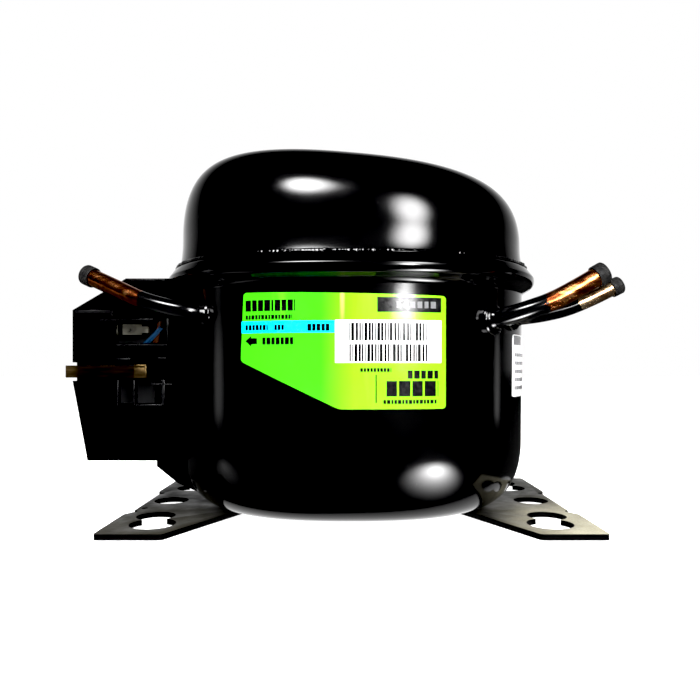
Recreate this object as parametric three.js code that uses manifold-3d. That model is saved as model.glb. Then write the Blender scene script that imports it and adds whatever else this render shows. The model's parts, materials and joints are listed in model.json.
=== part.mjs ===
// Hermetic reciprocating compressor for a refrigerator, built as an assembly.
//
// Millimetres, +Z up, +X to the right of the name plate, -Y towards its reader.
// All pieces are first placed about the centre of the mounting-hole pattern, on the plane
// that the feet stand on. The finished group is then shifted so that its origin is the
// bottom centre of the overall box.
import * as THREE from "three";
import { mergeVertices } from "three/addons/utils/BufferGeometryUtils.js";
import Module from "manifold-3d";

const wasm = await Module();
wasm.setup();

// ---- driving dimensions -------------------------------------------------------------

const gap = 0.3; // clearance between pieces that touch

// Housing: a steel cup and a cover whose plan is a superellipse.
const housing = {
  halfWidth: 82, // along X, wall of the cup
  halfDepth: 77, // along Y
  power: 2.45, // exponent of the plan: 2 is an ellipse, more is squarer
  wall: 3,
  base: 1, // lowest point of the bowl above the ground
  bowlRim: 60, // half width where the bottom turns up into the corner
  cornerTop: 34, // height where the corner meets the wall
  flareStart: 102.5,
  flangeBottom: 108,
  flangeHalf: 87.4, // half width of the flange that receives the cover
  seam: 114.3,
  coverHalf: 82.7, // where the cover enters the cup
  coverWaist: 81, // a little above it
  coverSkirt: 106.5,
  coverRise: 46.3, // crown of the cover above the seam
  coverTilt: 0.16, // the cover's top slopes down towards +X
  facets: 32,
};

// Feet: two pressed plates. The holes of their two patterns, 171 x 100 and 177 x 70, run into
// each other, and the outer edge steps in to a waist between two round notches.
const foot = {
  thickness: 2.5,
  outer: 104.3,
  waist: 102,
  waistFront: -29,
  waistRear: 21,
  halfLength: 68,
  notch: { radius: 2, front: -25.5, rear: 19 },
  keyHole: { x: 98.8, y: -18.6, radius: 1.6 }, // on the left foot only
  innerEdge: 45,
  innerTip: 51,
  innerTipY: 18,
  frontInner: 76.5,
  patternA: { x: 85.5, y: 50, radius: 9.9 },
  patternB: { x: 88.5, y: 35, radius: 8.7 },
  middleHole: { x: 91, y: 0, radius: 8.5 },
  pad: { inner: 56, outer: 66, halfWidth: 9, top: 4.2 }, // welded to the bowl
};

// Connecting tubes: outside radius, bore radius and the points that the centre line follows.
const tubes = {
  suction: {
    radius: 3.7,
    bore: 2.9,
    collarRadius: 5,
    points: [
      [-54, -51.5, 91.4], [-60.8, -58.2, 91.9], [-67, -61.8, 92.7], [-76, -62.6, 94.4],
      [-87, -60.8, 97.6], [-100, -56, 103.4], [-112.5, -51.2, 109],
    ],
  },
  process: {
    radius: 3.9,
    bore: 3,
    collarRadius: 6.2,
    points: [
      [50.5, -54.5, 88.8], [56.8, -61.4, 89.3], [62, -66, 90.2], [70, -69.2, 92.4],
      [80.4, -70.2, 96.2], [90, -70.2, 101.2], [100, -69.6, 107],
    ],
  },
  discharge: {
    radius: 3.2,
    bore: 2.4,
    collarRadius: 4.8,
    points: [
      [60.5, -43.5, 90.4], [68, -49.6, 90.8], [73.5, -51.8, 91.2], [82, -51.8, 92.4],
      [92, -51, 94.8], [103, -50, 99.2], [114.5, -49, 104.8],
    ],
  },
};
const cap = { wall: 0.4, length: 4.8, overlap: 3 };

// Terminal box on the -X side of the housing.
const box = {
  outer: -124.2, // outermost face
  inner: -70,
  bottomOuter: -117.6,
  top: 109.4,
  chamferX: -100.4,
  chamferZ: 95.3,
  waistTop: 72,
  waistBottom: 63.8,
  bottom: 28.2,
  front: -40,
  back: 38,
  wall: 2.2,
  grooveDepth: 3,
};
const clip = { thickness: 0.9, height: 5.4, reach: 2.6, z: 67.9, tab: 5.4 };
const terminal = { z: 70, radius: 16, pinRadius: 1.15, pinCircle: 6, pinStart: -98, pinLength: 26 };

// Pump and motor, on the crankshaft's axis.
const pump = {
  axisX: -10,
  crankRadius: 6.5, // half of the stroke
  boreRadius: 10.5,
  cylinderZ: 121,
  rodLength: 27,
  smallEnd: 5,
  bigEnd: 10,
  crankPin: 6,
  shaft: 8,
  pistonRear: 39, // from the crankshaft's axis, at bottom dead centre
  pistonLength: 15,
  cylinderRear: 37.5,
  cylinderFace: 67.6,
  cylinderRadius: 16,
  faceHalf: 17, // half side of the square cylinder face and head
  headBoltAt: 13.2,
  runningFit: 0.05,
};
const crankZ = pump.cylinderZ;
const plateBottom = 100;
const plateTop = 108;
const crankFlange = plateTop + 1.3; // underside of the crankshaft's flange, above the thrust washer

// Stack on the cylinder's face: gasket, valve plate, gasket, head.
const stack = {
  gasket: { start: 0.3, thickness: 0.8 },
  plate: { start: 1.4, thickness: 3 },
  headGasket: { start: 4.7, thickness: 0.8 },
  head: { start: 5.8, thickness: 7 },
};
const ports = { suctionY: 4.6, dischargeY: -4.6, radius: 2.1 };

const motor = {
  coreHalf: 41,
  coreBottom: 45,
  coreTop: 80,
  boltAt: 33,
  statorBore: 27,
  rotorRadius: 26.6,
  windingInner: 28,
  windingOuter: 38,
  windingHeight: 17,
};
const spring = { radius: 6.4, wire: 0.9, turns: 5, bottom: 13.6, top: 43.8 };

const outlineSteps = 4; // straight steps that stand for each curved stretch of an outline
const tubeSteps = 11; // straight lengths that stand for a connecting tube's curve
const corners = [[-1, -1], [-1, 1], [1, -1], [1, 1]];

// ---- geometry helpers ---------------------------------------------------------------

// A geometry as one closed surface: shared corners, no empty triangles, faces outward.
function closed(geometry) {
  const bare = geometry.clone();
  for (const name of Object.keys(bare.attributes)) {
    if (name !== "position") bare.deleteAttribute(name);
  }
  const merged = mergeVertices(bare, 1e-4);
  const corners = merged.index.array;
  const kept = [];
  for (let i = 0; i < corners.length; i += 3) {
    const [p, q, r] = [corners[i], corners[i + 1], corners[i + 2]];
    if (p !== q && q !== r && r !== p) kept.push(p, q, r);
  }
  if (signedVolume(merged.attributes.position, kept) < 0) kept.reverse();
  merged.setIndex(kept);
  return merged;
}

function signedVolume(position, corners) {
  const [p, q, r] = [new THREE.Vector3(), new THREE.Vector3(), new THREE.Vector3()];
  let volume = 0;
  for (let i = 0; i < corners.length; i += 3) {
    p.fromBufferAttribute(position, corners[i]);
    q.fromBufferAttribute(position, corners[i + 1]);
    r.fromBufferAttribute(position, corners[i + 2]);
    volume += p.dot(q.cross(r)) / 6;
  }
  return volume;
}

function toManifold(geometry) {
  const body = closed(geometry);
  const mesh = new wasm.Mesh({
    numProp: 3,
    vertProperties: new Float32Array(body.attributes.position.array),
    triVerts: new Uint32Array(body.index.array),
  });
  return new wasm.Manifold(mesh);
}

function fromManifold(manifold) {
  const mesh = manifold.getMesh();
  const geometry = new THREE.BufferGeometry();
  geometry.setAttribute("position", new THREE.BufferAttribute(new Float32Array(mesh.vertProperties), 3));
  geometry.setIndex(new THREE.BufferAttribute(new Uint32Array(mesh.triVerts), 1));
  return geometry;
}

function join(...geometries) {
  return fromManifold(geometries.map(toManifold).reduce((whole, piece) => whole.add(piece)));
}

function cut(geometry, ...tools) {
  const removed = tools.map(toManifold);
  return fromManifold(removed.reduce((whole, tool) => whole.subtract(tool), toManifold(geometry)));
}

function overlap(geometry, other) {
  return fromManifold(toManifold(geometry).intersect(toManifold(other)));
}

// Box from its lowest to its highest corner.
function block(low, high) {
  const size = high.map((value, i) => value - low[i]);
  const middle = high.map((value, i) => (value + low[i]) / 2);
  return new THREE.BoxGeometry(...size).translate(...middle);
}

// Cylinder standing on z, or lying along `direction` from its start point.
function rod(radius, length, start, direction = [0, 0, 1], sides = 24) {
  const geometry = new THREE.CylinderGeometry(radius, radius, length, sides).translate(0, length / 2, 0);
  const turn = new THREE.Quaternion().setFromUnitVectors(
    new THREE.Vector3(0, 1, 0),
    new THREE.Vector3(...direction).normalize(),
  );
  return geometry.applyQuaternion(turn).translate(...start);
}

function ring(outer, inner, length, start, direction = [0, 0, 1], sides = 24) {
  const back = new THREE.Vector3(...direction).normalize().negate();
  const from = back.add(new THREE.Vector3(...start)).toArray();
  return cut(rod(outer, length, start, direction, sides), rod(inner, length + 2, from, direction, sides));
}

// Flat plate with a drawn outline, from height z upwards.
function plate(shape, thickness, z) {
  const settings = { depth: thickness, bevelEnabled: false, curveSegments: 12 };
  return new THREE.ExtrudeGeometry(shape, settings).translate(0, 0, z);
}

// Outline drawn in X and Z, given depth from `front` to `back` along Y.
function upright(shape, front, back) {
  const depth = back - front;
  return new THREE.ExtrudeGeometry(shape, { depth, bevelEnabled: false, curveSegments: 8 })
    .rotateX(Math.PI / 2)
    .translate(0, back, 0);
}

function polygon(points) {
  return new THREE.Shape(points.map(([x, y]) => new THREE.Vector2(x, y)));
}

function circle(radius) {
  return new THREE.Shape().absarc(0, 0, radius, 0, 2 * Math.PI);
}

// Solid of revolution about Z from (radius, height) points.
function turned(points, sides = 32) {
  const outline = points.map(([radius, z]) => new THREE.Vector2(radius, z));
  return new THREE.LatheGeometry(outline, sides).rotateX(Math.PI / 2);
}

function curveThrough(points) {
  return new THREE.CatmullRomCurve3(points.map((point) => new THREE.Vector3(...point)));
}

// Bar of round section along a curve; a bore makes it a pipe.
function pipe(curve, radius, steps, sides, bore = 0) {
  const section = circle(radius);
  if (bore) section.holes.push(circle(bore));
  return new THREE.ExtrudeGeometry(section, { extrudePath: curve, steps, curveSegments: sides });
}

// ---- housing plan -------------------------------------------------------------------

// Radius of the unit superellipse in the direction `angle`.
function planRadius(angle) {
  const sum = Math.abs(Math.cos(angle)) ** housing.power + Math.abs(Math.sin(angle)) ** housing.power;
  return sum ** (-1 / housing.power);
}

// Turns a round body into one with the housing's plan; `tilt` slopes what is above the seam.
function squared(geometry, tilt = 0) {
  const position = geometry.attributes.position;
  const depthRatio = housing.halfDepth / housing.halfWidth;
  for (let i = 0; i < position.count; i++) {
    const [x, y, z] = [position.getX(i), position.getY(i), position.getZ(i)];
    const swell = planRadius(Math.atan2(y, x));
    const rise = Math.max(0, z - housing.seam);
    const slope = 1 - (tilt * x * swell) / housing.coverHalf;
    position.setXYZ(i, x * swell, y * swell * depthRatio, z - rise + rise * slope);
  }
  return geometry;
}

// Outline of the cup, `inset` millimetres inside its outer face, from the axis to the flange.
function cupOutline(inset) {
  const { base, bowlRim, cornerTop, halfWidth, flareStart, flangeBottom, flangeHalf } = housing;
  const path = new THREE.Path();
  path.moveTo(0, base + inset);
  path.quadraticCurveTo(bowlRim / 2, base + inset, bowlRim - inset, base + 4 + inset);
  path.quadraticCurveTo(halfWidth - 1.5 - inset, base + 7 + inset, halfWidth - 0.4 - inset, cornerTop);
  path.lineTo(halfWidth - inset, flareStart + inset);
  const ledge = flangeHalf - 2 - inset;
  path.quadraticCurveTo(halfWidth - inset, flangeBottom - 4 + inset / 2, ledge, flangeBottom - 2);
  path.quadraticCurveTo(flangeHalf - inset, flangeBottom - 1, flangeHalf - inset, flangeBottom + 1);
  return path.getPoints(outlineSteps).map(({ x, y }) => [x, y]);
}

// Outline of the cover, from its skirt to the axis.
function coverOutline(inset) {
  const half = housing.coverHalf - inset;
  const waist = housing.coverWaist - inset;
  const top = housing.seam + housing.coverRise - inset;
  const at = (share) => housing.seam + share * (top - housing.seam);
  const path = new THREE.Path();
  path.moveTo(half, housing.coverSkirt);
  path.lineTo(half, housing.seam);
  path.quadraticCurveTo(waist, at(0.12), waist, at(0.29));
  path.quadraticCurveTo(waist, at(0.896), waist * 0.731, at(0.994));
  path.quadraticCurveTo(waist * 0.6, top, 0, top);
  return path.getPoints(outlineSteps).map(({ x, y }) => [x, y]);
}

function wallHoles() {
  const terminalHole = rod(terminal.radius + gap, 30, [-100, 0, terminal.z], [1, 0, 0]);
  return [...Object.keys(tubes).map(tubeClearance), terminalHole];
}

function lowerShell() {
  const innerRim = housing.coverHalf + gap;
  const { flangeHalf, seam } = housing;
  const flange = [[flangeHalf, seam - 4.2], [flangeHalf - 3, seam]];
  const outside = [...cupOutline(0), ...flange, [innerRim, seam]];
  const innerWall = cupOutline(housing.wall).slice(0, -2 * outlineSteps).reverse(); // without the flange
  const inside = [[innerRim, housing.coverSkirt - gap], ...innerWall];
  const cup = cut(squared(turned([...outside, ...inside], housing.facets)), ...wallHoles());
  return join(cup, ...corners.map(([u, v]) => springPeg(u, v)));
}

function topCover() {
  const outside = coverOutline(0);
  const inside = coverOutline(housing.wall).reverse();
  return squared(turned([...outside, ...inside, outside[0]], housing.facets), housing.coverTilt);
}

function weldBead() {
  const inner = housing.coverHalf + gap;
  const bottom = housing.seam + gap;
  const outline = new THREE.Path();
  outline.moveTo(inner, bottom);
  outline.lineTo(housing.flangeHalf - 3, bottom);
  outline.quadraticCurveTo(housing.flangeHalf - 2.8, bottom + 1.5, inner, bottom + 1.5);
  outline.lineTo(inner, bottom);
  return squared(turned(outline.getPoints(3).map(({ x, y }) => [x, y]), housing.facets));
}

// A ring that hugs the wall of the cup, for labels.
function wallSkin(from, thickness) {
  const [low, high] = [45, 100];
  const lean = 0.4 / (housing.flareStart - housing.cornerTop);
  const at = (z) => housing.halfWidth - (housing.flareStart - z) * lean;
  const inner = [[at(low) + from, low], [at(high) + from, high]];
  const outer = [[at(high) + from + thickness, high], [at(low) + from + thickness, low]];
  return squared(turned([...inner, ...outer, inner[0]], housing.facets));
}

// ---- outside pieces -----------------------------------------------------------------

function addHole(shape, { x, y, radius }, side) {
  shape.holes.push(new THREE.Path().absarc(side * x, y, radius, 0, 2 * Math.PI));
}

function footPlate(side) {
  const outline = [
    [foot.frontInner, -foot.halfLength], [foot.outer, -foot.halfLength],
    [foot.outer, foot.waistFront - 2], [foot.waist, foot.waistFront],
    [foot.waist, foot.waistRear], [foot.outer, foot.waistRear + 2],
    [foot.outer, foot.halfLength], [foot.frontInner, foot.halfLength],
    [foot.innerTip, foot.innerTipY], [foot.innerEdge, foot.innerTipY / 2],
    [foot.innerEdge, -foot.innerTipY / 2], [foot.innerTip, -foot.innerTipY],
  ];
  const shape = polygon(outline.map(([x, y]) => [side * x, y]));
  addHole(shape, foot.middleHole, side);
  const punched = ({ x, y, radius }, sides) =>
    rod(radius, foot.thickness + 2, [side * x, y, -1], [0, 0, 1], sides);
  const { patternA, patternB, notch, keyHole, pad } = foot;
  const holes = [-1, 1].flatMap((end) => [
    punched({ ...patternA, y: end * patternA.y }, 24),
    punched({ ...patternB, y: end * patternB.y }, 24),
  ]);
  const notches = [notch.front, notch.rear].map((y) => {
    return punched({ x: foot.waist, y, radius: notch.radius }, 12);
  });
  const keyHoles = side < 0 ? [punched(keyHole, 10)] : [];
  const raised = block([pad.inner, -pad.halfWidth, 1], [pad.outer, pad.halfWidth, pad.top]);
  if (side < 0) raised.rotateZ(Math.PI);
  return cut(join(plate(shape, foot.thickness, 0), raised), ...holes, ...notches, ...keyHoles);
}

function tubeCurve(name) {
  return curveThrough(tubes[name].points);
}

// The space that a tube needs where it passes through its neighbours.
function tubeClearance(name) {
  return pipe(tubeCurve(name), tubes[name].radius + gap, tubeSteps, 5);
}

function connectingTube(name) {
  const { radius, bore } = tubes[name];
  return pipe(tubeCurve(name), radius, tubeSteps, 5, bore);
}

// Brazed collar where a tube leaves the wall.
function collar(name) {
  const { radius, collarRadius, points } = tubes[name];
  const [start, exit] = points.map((point) => new THREE.Vector3(...point));
  const direction = exit.clone().sub(start).normalize();
  const bore = radius - 0.5;
  const profile = [
    [bore, -3], [collarRadius + 0.6, -3], [collarRadius + 0.6, 2], [collarRadius, 3.4],
    [radius + 0.8, 5.2], [bore, 5.2], [bore, -3],
  ];
  const turn = new THREE.Quaternion().setFromUnitVectors(new THREE.Vector3(0, 0, 1), direction);
  const sleeve = turned(profile, 14).applyQuaternion(turn).translate(...exit.toArray());
  return cut(sleeve, housingClearance(), tubeClearance(name));
}

// The cup's form without its hollow, `inset` inside its outer face.
function filledCup(inset) {
  const top = housing.seam + 4;
  const outline = [...cupOutline(inset), [housing.flangeHalf - inset, top], [0, top]];
  return squared(turned(outline, housing.facets));
}

// What has to stay clear of pieces that sit against the housing.
function housingClearance() {
  return filledCup(-gap);
}

function tubeEnd(name) {
  const curve = tubeCurve(name);
  return { point: curve.getPoint(1), direction: curve.getTangent(1).normalize() };
}

function tubeCap(name) {
  const inner = tubes[name].radius + gap;
  const outer = inner + cap.wall;
  const floor = cap.overlap - cap.length;
  const { point, direction } = tubeEnd(name);
  const profile = [
    [0, gap], [inner, gap], [inner, -cap.overlap], [outer, -cap.overlap],
    [outer, -floor - 0.6], [outer - 0.6, -floor], [0, -floor],
  ];
  const turn = new THREE.Quaternion().setFromUnitVectors(new THREE.Vector3(0, 0, 1), direction);
  return turned(profile, 14).applyQuaternion(turn).translate(...point.toArray());
}

function nameLabel() {
  const outline = polygon([[-43, 99.3], [37.3, 97.8], [37.3, 53.3], [-5, 53.3], [-44.3, 72]]);
  return overlap(wallSkin(gap, 0.3), upright(outline, -100, -40));
}

function sideLabel() {
  return overlap(wallSkin(gap, 0.3), block([60, -49, 57], [100, -7, 84]));
}

// ---- terminal box -------------------------------------------------------------------

// Side view of the terminal cover, drawn `inset` inside its outer faces.
function boxOutline(inset) {
  const right = box.inner + 10 * Math.sign(inset);
  return polygon([
    [right, box.bottom + inset], [box.bottomOuter + inset, box.bottom + inset],
    [box.outer + inset, box.waistBottom], [box.outer + inset, box.chamferZ - inset * 0.6],
    [box.chamferX + inset * 0.6, box.top - inset], [right, box.top - inset],
  ]);
}

function terminalCover() {
  const body = upright(boxOutline(0), box.front, box.back);
  const hollow = upright(boxOutline(box.wall), box.front + box.wall, box.back - box.wall);
  const grooveEnd = box.outer + box.grooveDepth - box.wall * 0.5;
  const groove = block(
    [box.outer - 1, box.front - 1, box.waistBottom],
    [grooveEnd, box.back + 1, box.waistTop],
  );
  const grooveBack = block(
    [grooveEnd - 0.5, box.front + 1, box.waistBottom - 2],
    [grooveEnd + box.wall, box.back - 1, box.waistTop + 2],
  );
  const windows = [
    block([-104.6, box.front - 1, 80.6], [-82.6, box.front + 3, 90.2]),
    block([-103.4, box.front - 1, 53.8], [-97.4, box.front + 3, 63.4]),
    block([-95.9, box.front - 1, 53.8], [-84.7, box.front + 3, 63.4]),
    block([-100, box.front - 1, 65], [-93, box.front + 3, 70.8]),
  ];
  const cordEntry = block([-112, 6, box.bottom - 1], [-96, 26, box.bottom + 3]);
  const bracketSlot = block([-92 - gap, -22 - gap, box.bottom - 1], [-60, 22 + gap, box.bottom + 3]);
  const shellSide = housingClearance();
  const walls = join(cut(body, hollow), overlap(grooveBack, body));
  return cut(walls, groove, ...windows, cordEntry, bracketSlot, shellSide);
}

// Spring strap that holds the cover: three sides of a rectangle with a folded end.
function coverClip() {
  const left = box.outer - clip.reach;
  const front = box.front - gap;
  const back = box.back + gap;
  const t = clip.thickness;
  const outline = polygon([
    [-91, front], [-91, front - t], [left, front - t], [left, back + t],
    [-98, back + t], [-98, back], [left + t, back], [left + t, front],
  ]);
  const strap = plate(outline, clip.height, clip.z - clip.height / 2);
  const tab = block([-96, front - 2 * t, clip.z - 2.7], [-96 + clip.tab, front - t / 2, clip.z + 2.9]);
  return join(strap, tab);
}

// Bracket welded to the wall. It carries the terminal cover, and its folded leg braces it from below.
function terminalBracket() {
  const half = 22;
  const low = block([-92, -half, 34], [-86.5, half, 44]);
  const back = block([-92, -half, 34], [-90.6, half, 98]);
  const high = block([-92, -half, 92], [-90, half, 98]);
  const leg = upright(polygon([[-92, 40], [-92, 23], [-82, 15], [-68, 9], [-68, 40]]), -half, half);
  const fold = block([-90.6, 1.4 - half, 0], [-60, half - 1.4, 34.5]);
  const window = block([-95, -19, 50], [-85, 19, 89]);
  return cut(join(cut(leg, fold), low, back, high), window, housingClearance());
}

// Three round bars along X, one on each pin of the terminal.
function onPins(radius, length, start) {
  return [90, 210, 330].map((degrees) => {
    const angle = THREE.MathUtils.degToRad(degrees);
    const [y, z] = [terminal.pinCircle * Math.cos(angle), terminal.pinCircle * Math.sin(angle)];
    return rod(radius, length, [start, y, terminal.z + z], [1, 0, 0], 12);
  });
}

function hermeticTerminal() {
  const disc = rod(terminal.radius, 3, [-81.5, 0, terminal.z], [1, 0, 0]);
  const cup = ring(terminal.radius - 1, terminal.radius - 3, 6, [-86.5, 0, terminal.z], [1, 0, 0]);
  return join(disc, cup, ...onPins(terminal.pinRadius, terminal.pinLength, terminal.pinStart));
}

// Starting device, pushed onto the three pins.
function starter() {
  const body = block([-114, -20, 52], [-93.5, 16.5, 89]);
  const dome = rod(9.5, 4, [-117, -4, 70], [1, 0, 0], 20);
  return cut(join(body, dome), ...onPins(terminal.pinRadius + gap, 6, terminal.pinStart - 0.6));
}

function overloadProtector() {
  const can = rod(8.5, 14, [-110, 26.2, 62], [1, 0, 0], 20);
  const blade = block([-114, 23, 60.6], [-109, 29, 61.4]);
  return join(can, blade);
}

function earthTab() {
  const blade = block([-104, -34, 84.6], [-95.4, -33.2, 89.4]);
  const stem = block([-96, -34, 85.6], [-92.4, -29, 88.4]);
  return join(blade, stem);
}

function wire(points, radius = 1.1) {
  return pipe(curveThrough(points), radius, 8, 3);
}

// ---- pump ---------------------------------------------------------------------------

function crankcase() {
  const x = pump.axisX;
  const deck = block([x - 40, -40, plateBottom], [x + 44, 40, plateTop]);
  const legs = corners.map(([u, v]) => {
    const [cx, cy] = [x + u * motor.boltAt, v * motor.boltAt];
    return block([cx - 6, cy - 6, motor.coreTop + gap], [cx + 6, cy + 6, plateBottom + 1]);
  });
  const boltHoles = corners.map(([u, v]) => {
    return rod(2.6, 40, [x + u * motor.boltAt, v * motor.boltAt, motor.coreTop - 5], [0, 0, 1], 12);
  });
  const hub = rod(13, plateTop - 83.5, [x, 0, 83.5], [0, 0, 1], 28);
  const barrel = rod(pump.cylinderRadius, pump.cylinderFace - pump.cylinderRear, [
    x + pump.cylinderRear, 0, crankZ,
  ], [1, 0, 0], 28);
  const foundation = block([x + pump.cylinderRear, -15, plateTop - 5], [x + pump.cylinderFace, 15, crankZ]);
  const flange = block(
    [x + pump.cylinderFace - 7, -pump.faceHalf, crankZ - pump.faceHalf],
    [x + pump.cylinderFace, pump.faceHalf, crankZ + pump.faceHalf],
  );
  const bore = rod(pump.boreRadius + pump.runningFit, 60, [x + 30, 0, crankZ], [1, 0, 0], 36);
  const shaftBore = rod(pump.shaft + pump.runningFit, 40, [x, 0, 78], [0, 0, 1], 32);
  const screwHoles = headBoltPlaces().map(([y, z]) => {
    return rod(2.3, 8, [x + pump.cylinderFace - 6, y, z], [1, 0, 0], 10);
  });
  const casting = join(deck, ...legs, hub, barrel, foundation, flange);
  return cut(casting, bore, shaftBore, ...boltHoles, ...screwHoles);
}

function headBoltPlaces() {
  return corners.map(([u, v]) => [u * pump.headBoltAt, crankZ + v * pump.headBoltAt]);
}

function crankshaft() {
  const x = pump.axisX;
  const journal = rod(pump.shaft, crankFlange + 1 - 30, [x, 0, 30], [0, 0, 1], 32);
  const flange = rod(13, 5, [x, 0, crankFlange], [0, 0, 1], 28);
  const pin = rod(pump.crankPin, 19, [x - pump.crankRadius, 0, crankFlange + 4], [0, 0, 1], 24);
  const oilWay = rod(2, 4, [x, 0, 29], [0, 0, 1], 10);
  return cut(join(journal, flange, pin), oilWay);
}

function counterweight() {
  const x = pump.axisX;
  const shape = new THREE.Shape();
  shape.absarc(0, 0, 25.4, -Math.PI * 0.36, Math.PI * 0.36);
  shape.lineTo(13 * Math.cos(1), 13 * Math.sin(1));
  shape.absarc(0, 0, 13 + gap, 1, -1, true);
  return plate(shape, 5, crankFlange).translate(x, 0, 0);
}

function rotor() {
  const body = turned([
    [pump.shaft + gap, motor.coreBottom], [15, motor.coreBottom], [15, motor.coreBottom - 4],
    [25, motor.coreBottom - 4], [motor.rotorRadius, motor.coreBottom], [motor.rotorRadius, motor.coreTop],
    [25, motor.coreTop], [25, motor.coreTop + 2.4], [15, motor.coreTop + 2.4], [15, motor.coreTop],
    [pump.shaft + gap, motor.coreTop], [pump.shaft + gap, motor.coreBottom],
  ], 28);
  return body.translate(pump.axisX, 0, 0);
}

function oilPickup() {
  const outline = [
    [2.4, 9.5], [4.4, 9.5], [7.4, 22], [7.4, 29.6], [5.4, 29.6], [5.4, 23], [2.4, 9.5],
  ];
  return turned(outline, 20).translate(pump.axisX, 0, 0);
}

function thrustWasher() {
  return ring(12, pump.shaft + gap, 0.7, [pump.axisX, 0, plateTop + gap], [0, 0, 1], 28);
}

function connectingRod() {
  const x = pump.axisX - pump.crankRadius;
  const far = x + pump.rodLength;
  const shank = block([x + 6, -3, crankZ - 3], [far - 2, 3, crankZ + 3]);
  const big = rod(pump.bigEnd, 10, [x, 0, crankZ - 5], [0, 0, 1], 28);
  const small = rod(pump.smallEnd, 8, [far, 0, crankZ - 4], [0, 0, 1], 20);
  const crankBore = rod(pump.crankPin + pump.runningFit, 14, [x, 0, crankZ - 7], [0, 0, 1], 24);
  const wristBore = rod(2.6, 14, [far, 0, crankZ - 7], [0, 0, 1], 16);
  return cut(join(shank, big, small), crankBore, wristBore);
}

function piston() {
  const x = pump.axisX + pump.pistonRear;
  const skirt = rod(pump.boreRadius, pump.pistonLength, [x, 0, crankZ], [1, 0, 0], 36);
  const inside = rod(7.6, pump.pistonLength - 4, [x - 1, 0, crankZ], [1, 0, 0], 24);
  const pinBore = rod(2.5 + gap, 30, [x + 6.5, 0, crankZ - 15], [0, 0, 1], 16);
  return cut(skirt, inside, pinBore);
}

function wristPin() {
  return ring(2.5, 1.2, 18, [pump.axisX + pump.pistonRear + 6.5, 0, crankZ - 9], [0, 0, 1], 16);
}

// Square plate against the cylinder's face, from `start` millimetres beyond it.
function facePlate({ start, thickness }, holes) {
  const half = pump.faceHalf;
  const x = pump.axisX + pump.cylinderFace + start;
  const body = block([x, -half, crankZ - half], [x + thickness, half, crankZ + half]);
  const screws = headBoltPlaces().map(([y, z]) => rod(2.3, thickness + 2, [x - 1, y, z], [1, 0, 0], 10));
  const openings = holes.map(([y, z, radius]) => rod(radius, thickness + 2, [x - 1, y, z], [1, 0, 0], 20));
  return cut(body, ...screws, ...openings);
}

// Reed: a tongue that covers one port, held at its root.
function reed(start, y, rootZ, tipZ, thickness) {
  const x = pump.axisX + pump.cylinderFace + start;
  const tongue = block([x, y - 1.8, rootZ], [x + thickness, y + 1.8, tipZ]);
  const pad = rod(3.2, thickness, [x, y, tipZ], [1, 0, 0], 20);
  return join(tongue, pad);
}

function cylinderGasket() {
  return facePlate(stack.gasket, [[0, crankZ, pump.boreRadius]]);
}

function valvePlate() {
  return facePlate(stack.plate, [
    [ports.suctionY, crankZ, ports.radius],
    [ports.dischargeY, crankZ, ports.radius],
  ]);
}

function headGasket() {
  return facePlate(stack.headGasket, [[0, crankZ, 12]]);
}

function cylinderHead() {
  const x = pump.axisX + pump.cylinderFace + stack.head.start;
  const solid = facePlate(stack.head, []);
  const suctionRoom = block([x - 1, 1, crankZ - 8], [x + 5, 11, crankZ + 8]);
  const dischargeRoom = block([x - 1, -11, crankZ - 8], [x + 5, -1, crankZ + 8]);
  const outlet = rod(2, 30, [x + 3.5, -6, crankZ - 30], [0, 0, 1], 10);
  const inlet = rod(2.6, 20, [x + 3.5, 6, crankZ], [0, 1, 0], 12);
  return cut(solid, suctionRoom, dischargeRoom, outlet, inlet);
}

function headBolt([y, z]) {
  const face = pump.axisX + pump.cylinderFace;
  const end = stack.head.start + stack.head.thickness;
  const shank = rod(2, end + 6, [face - 5, y, z], [1, 0, 0], 10);
  const head = rod(3.4, 2.2, [face + end + gap, y, z], [1, 0, 0], 6);
  return join(shank, head);
}

function suctionMuffler() {
  const headMiddle = pump.axisX + pump.cylinderFace + stack.head.start + 3.5;
  const can = block([35.5, 23, 96], [61, 46, 131]);
  const elbow = block([60, 20, crankZ - 4.5], [headMiddle + 3.6, 28, crankZ + 4.5]);
  const neck = rod(3.3, 4, [headMiddle, pump.faceHalf + 0.4, crankZ], [0, 1, 0], 14);
  const inlet = rod(4.2, 5, [45, 45, 104], [0, 1, 0], 14);
  const bore = rod(2.4, 6, [headMiddle, pump.faceHalf, crankZ], [0, 1, 0], 12);
  return cut(join(can, elbow, neck, inlet), bore);
}

function dischargeMuffler() {
  const can = turned([[0, 0], [10.4, 0], [11.6, 1.6], [11.6, 19.6], [8, 24.6], [0, 25.6]], 24);
  return can.translate(pump.axisX - 26, -27, plateTop + gap);
}

// Long springy line from the cylinder head to the outlet in the wall.
function dischargeLine() {
  return pipe(curveThrough([
    [66.9, -6, 106], [66.5, -5, 96], [62, 10, 84], [46, 40, 76], [40, 50, 62], [50, 46, 46],
    [62, 20, 40], [64, -8, 44], [60, -30, 58], [56, -38, 74], [55.2, -39.4, 84],
  ]), 1.8, 24, 3);
}

// ---- motor --------------------------------------------------------------------------

function statorCore() {
  const x = pump.axisX;
  const half = motor.coreHalf;
  const corner = 7;
  const shape = polygon([
    [-half, -half + corner], [-half + corner, -half], [half - corner, -half], [half, -half + corner],
    [half, half - corner], [half - corner, half], [-half + corner, half], [-half, half - corner],
  ]);
  const body = plate(shape, motor.coreTop - motor.coreBottom, motor.coreBottom).translate(x, 0, 0);
  const bore = rod(motor.statorBore, 60, [x, 0, 30], [0, 0, 1], 36);
  const boltHoles = corners.map(([u, v]) => {
    return rod(2.6, 60, [x + u * motor.boltAt, v * motor.boltAt, 30], [0, 0, 1], 12);
  });
  return cut(body, bore, ...boltHoles);
}

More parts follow.
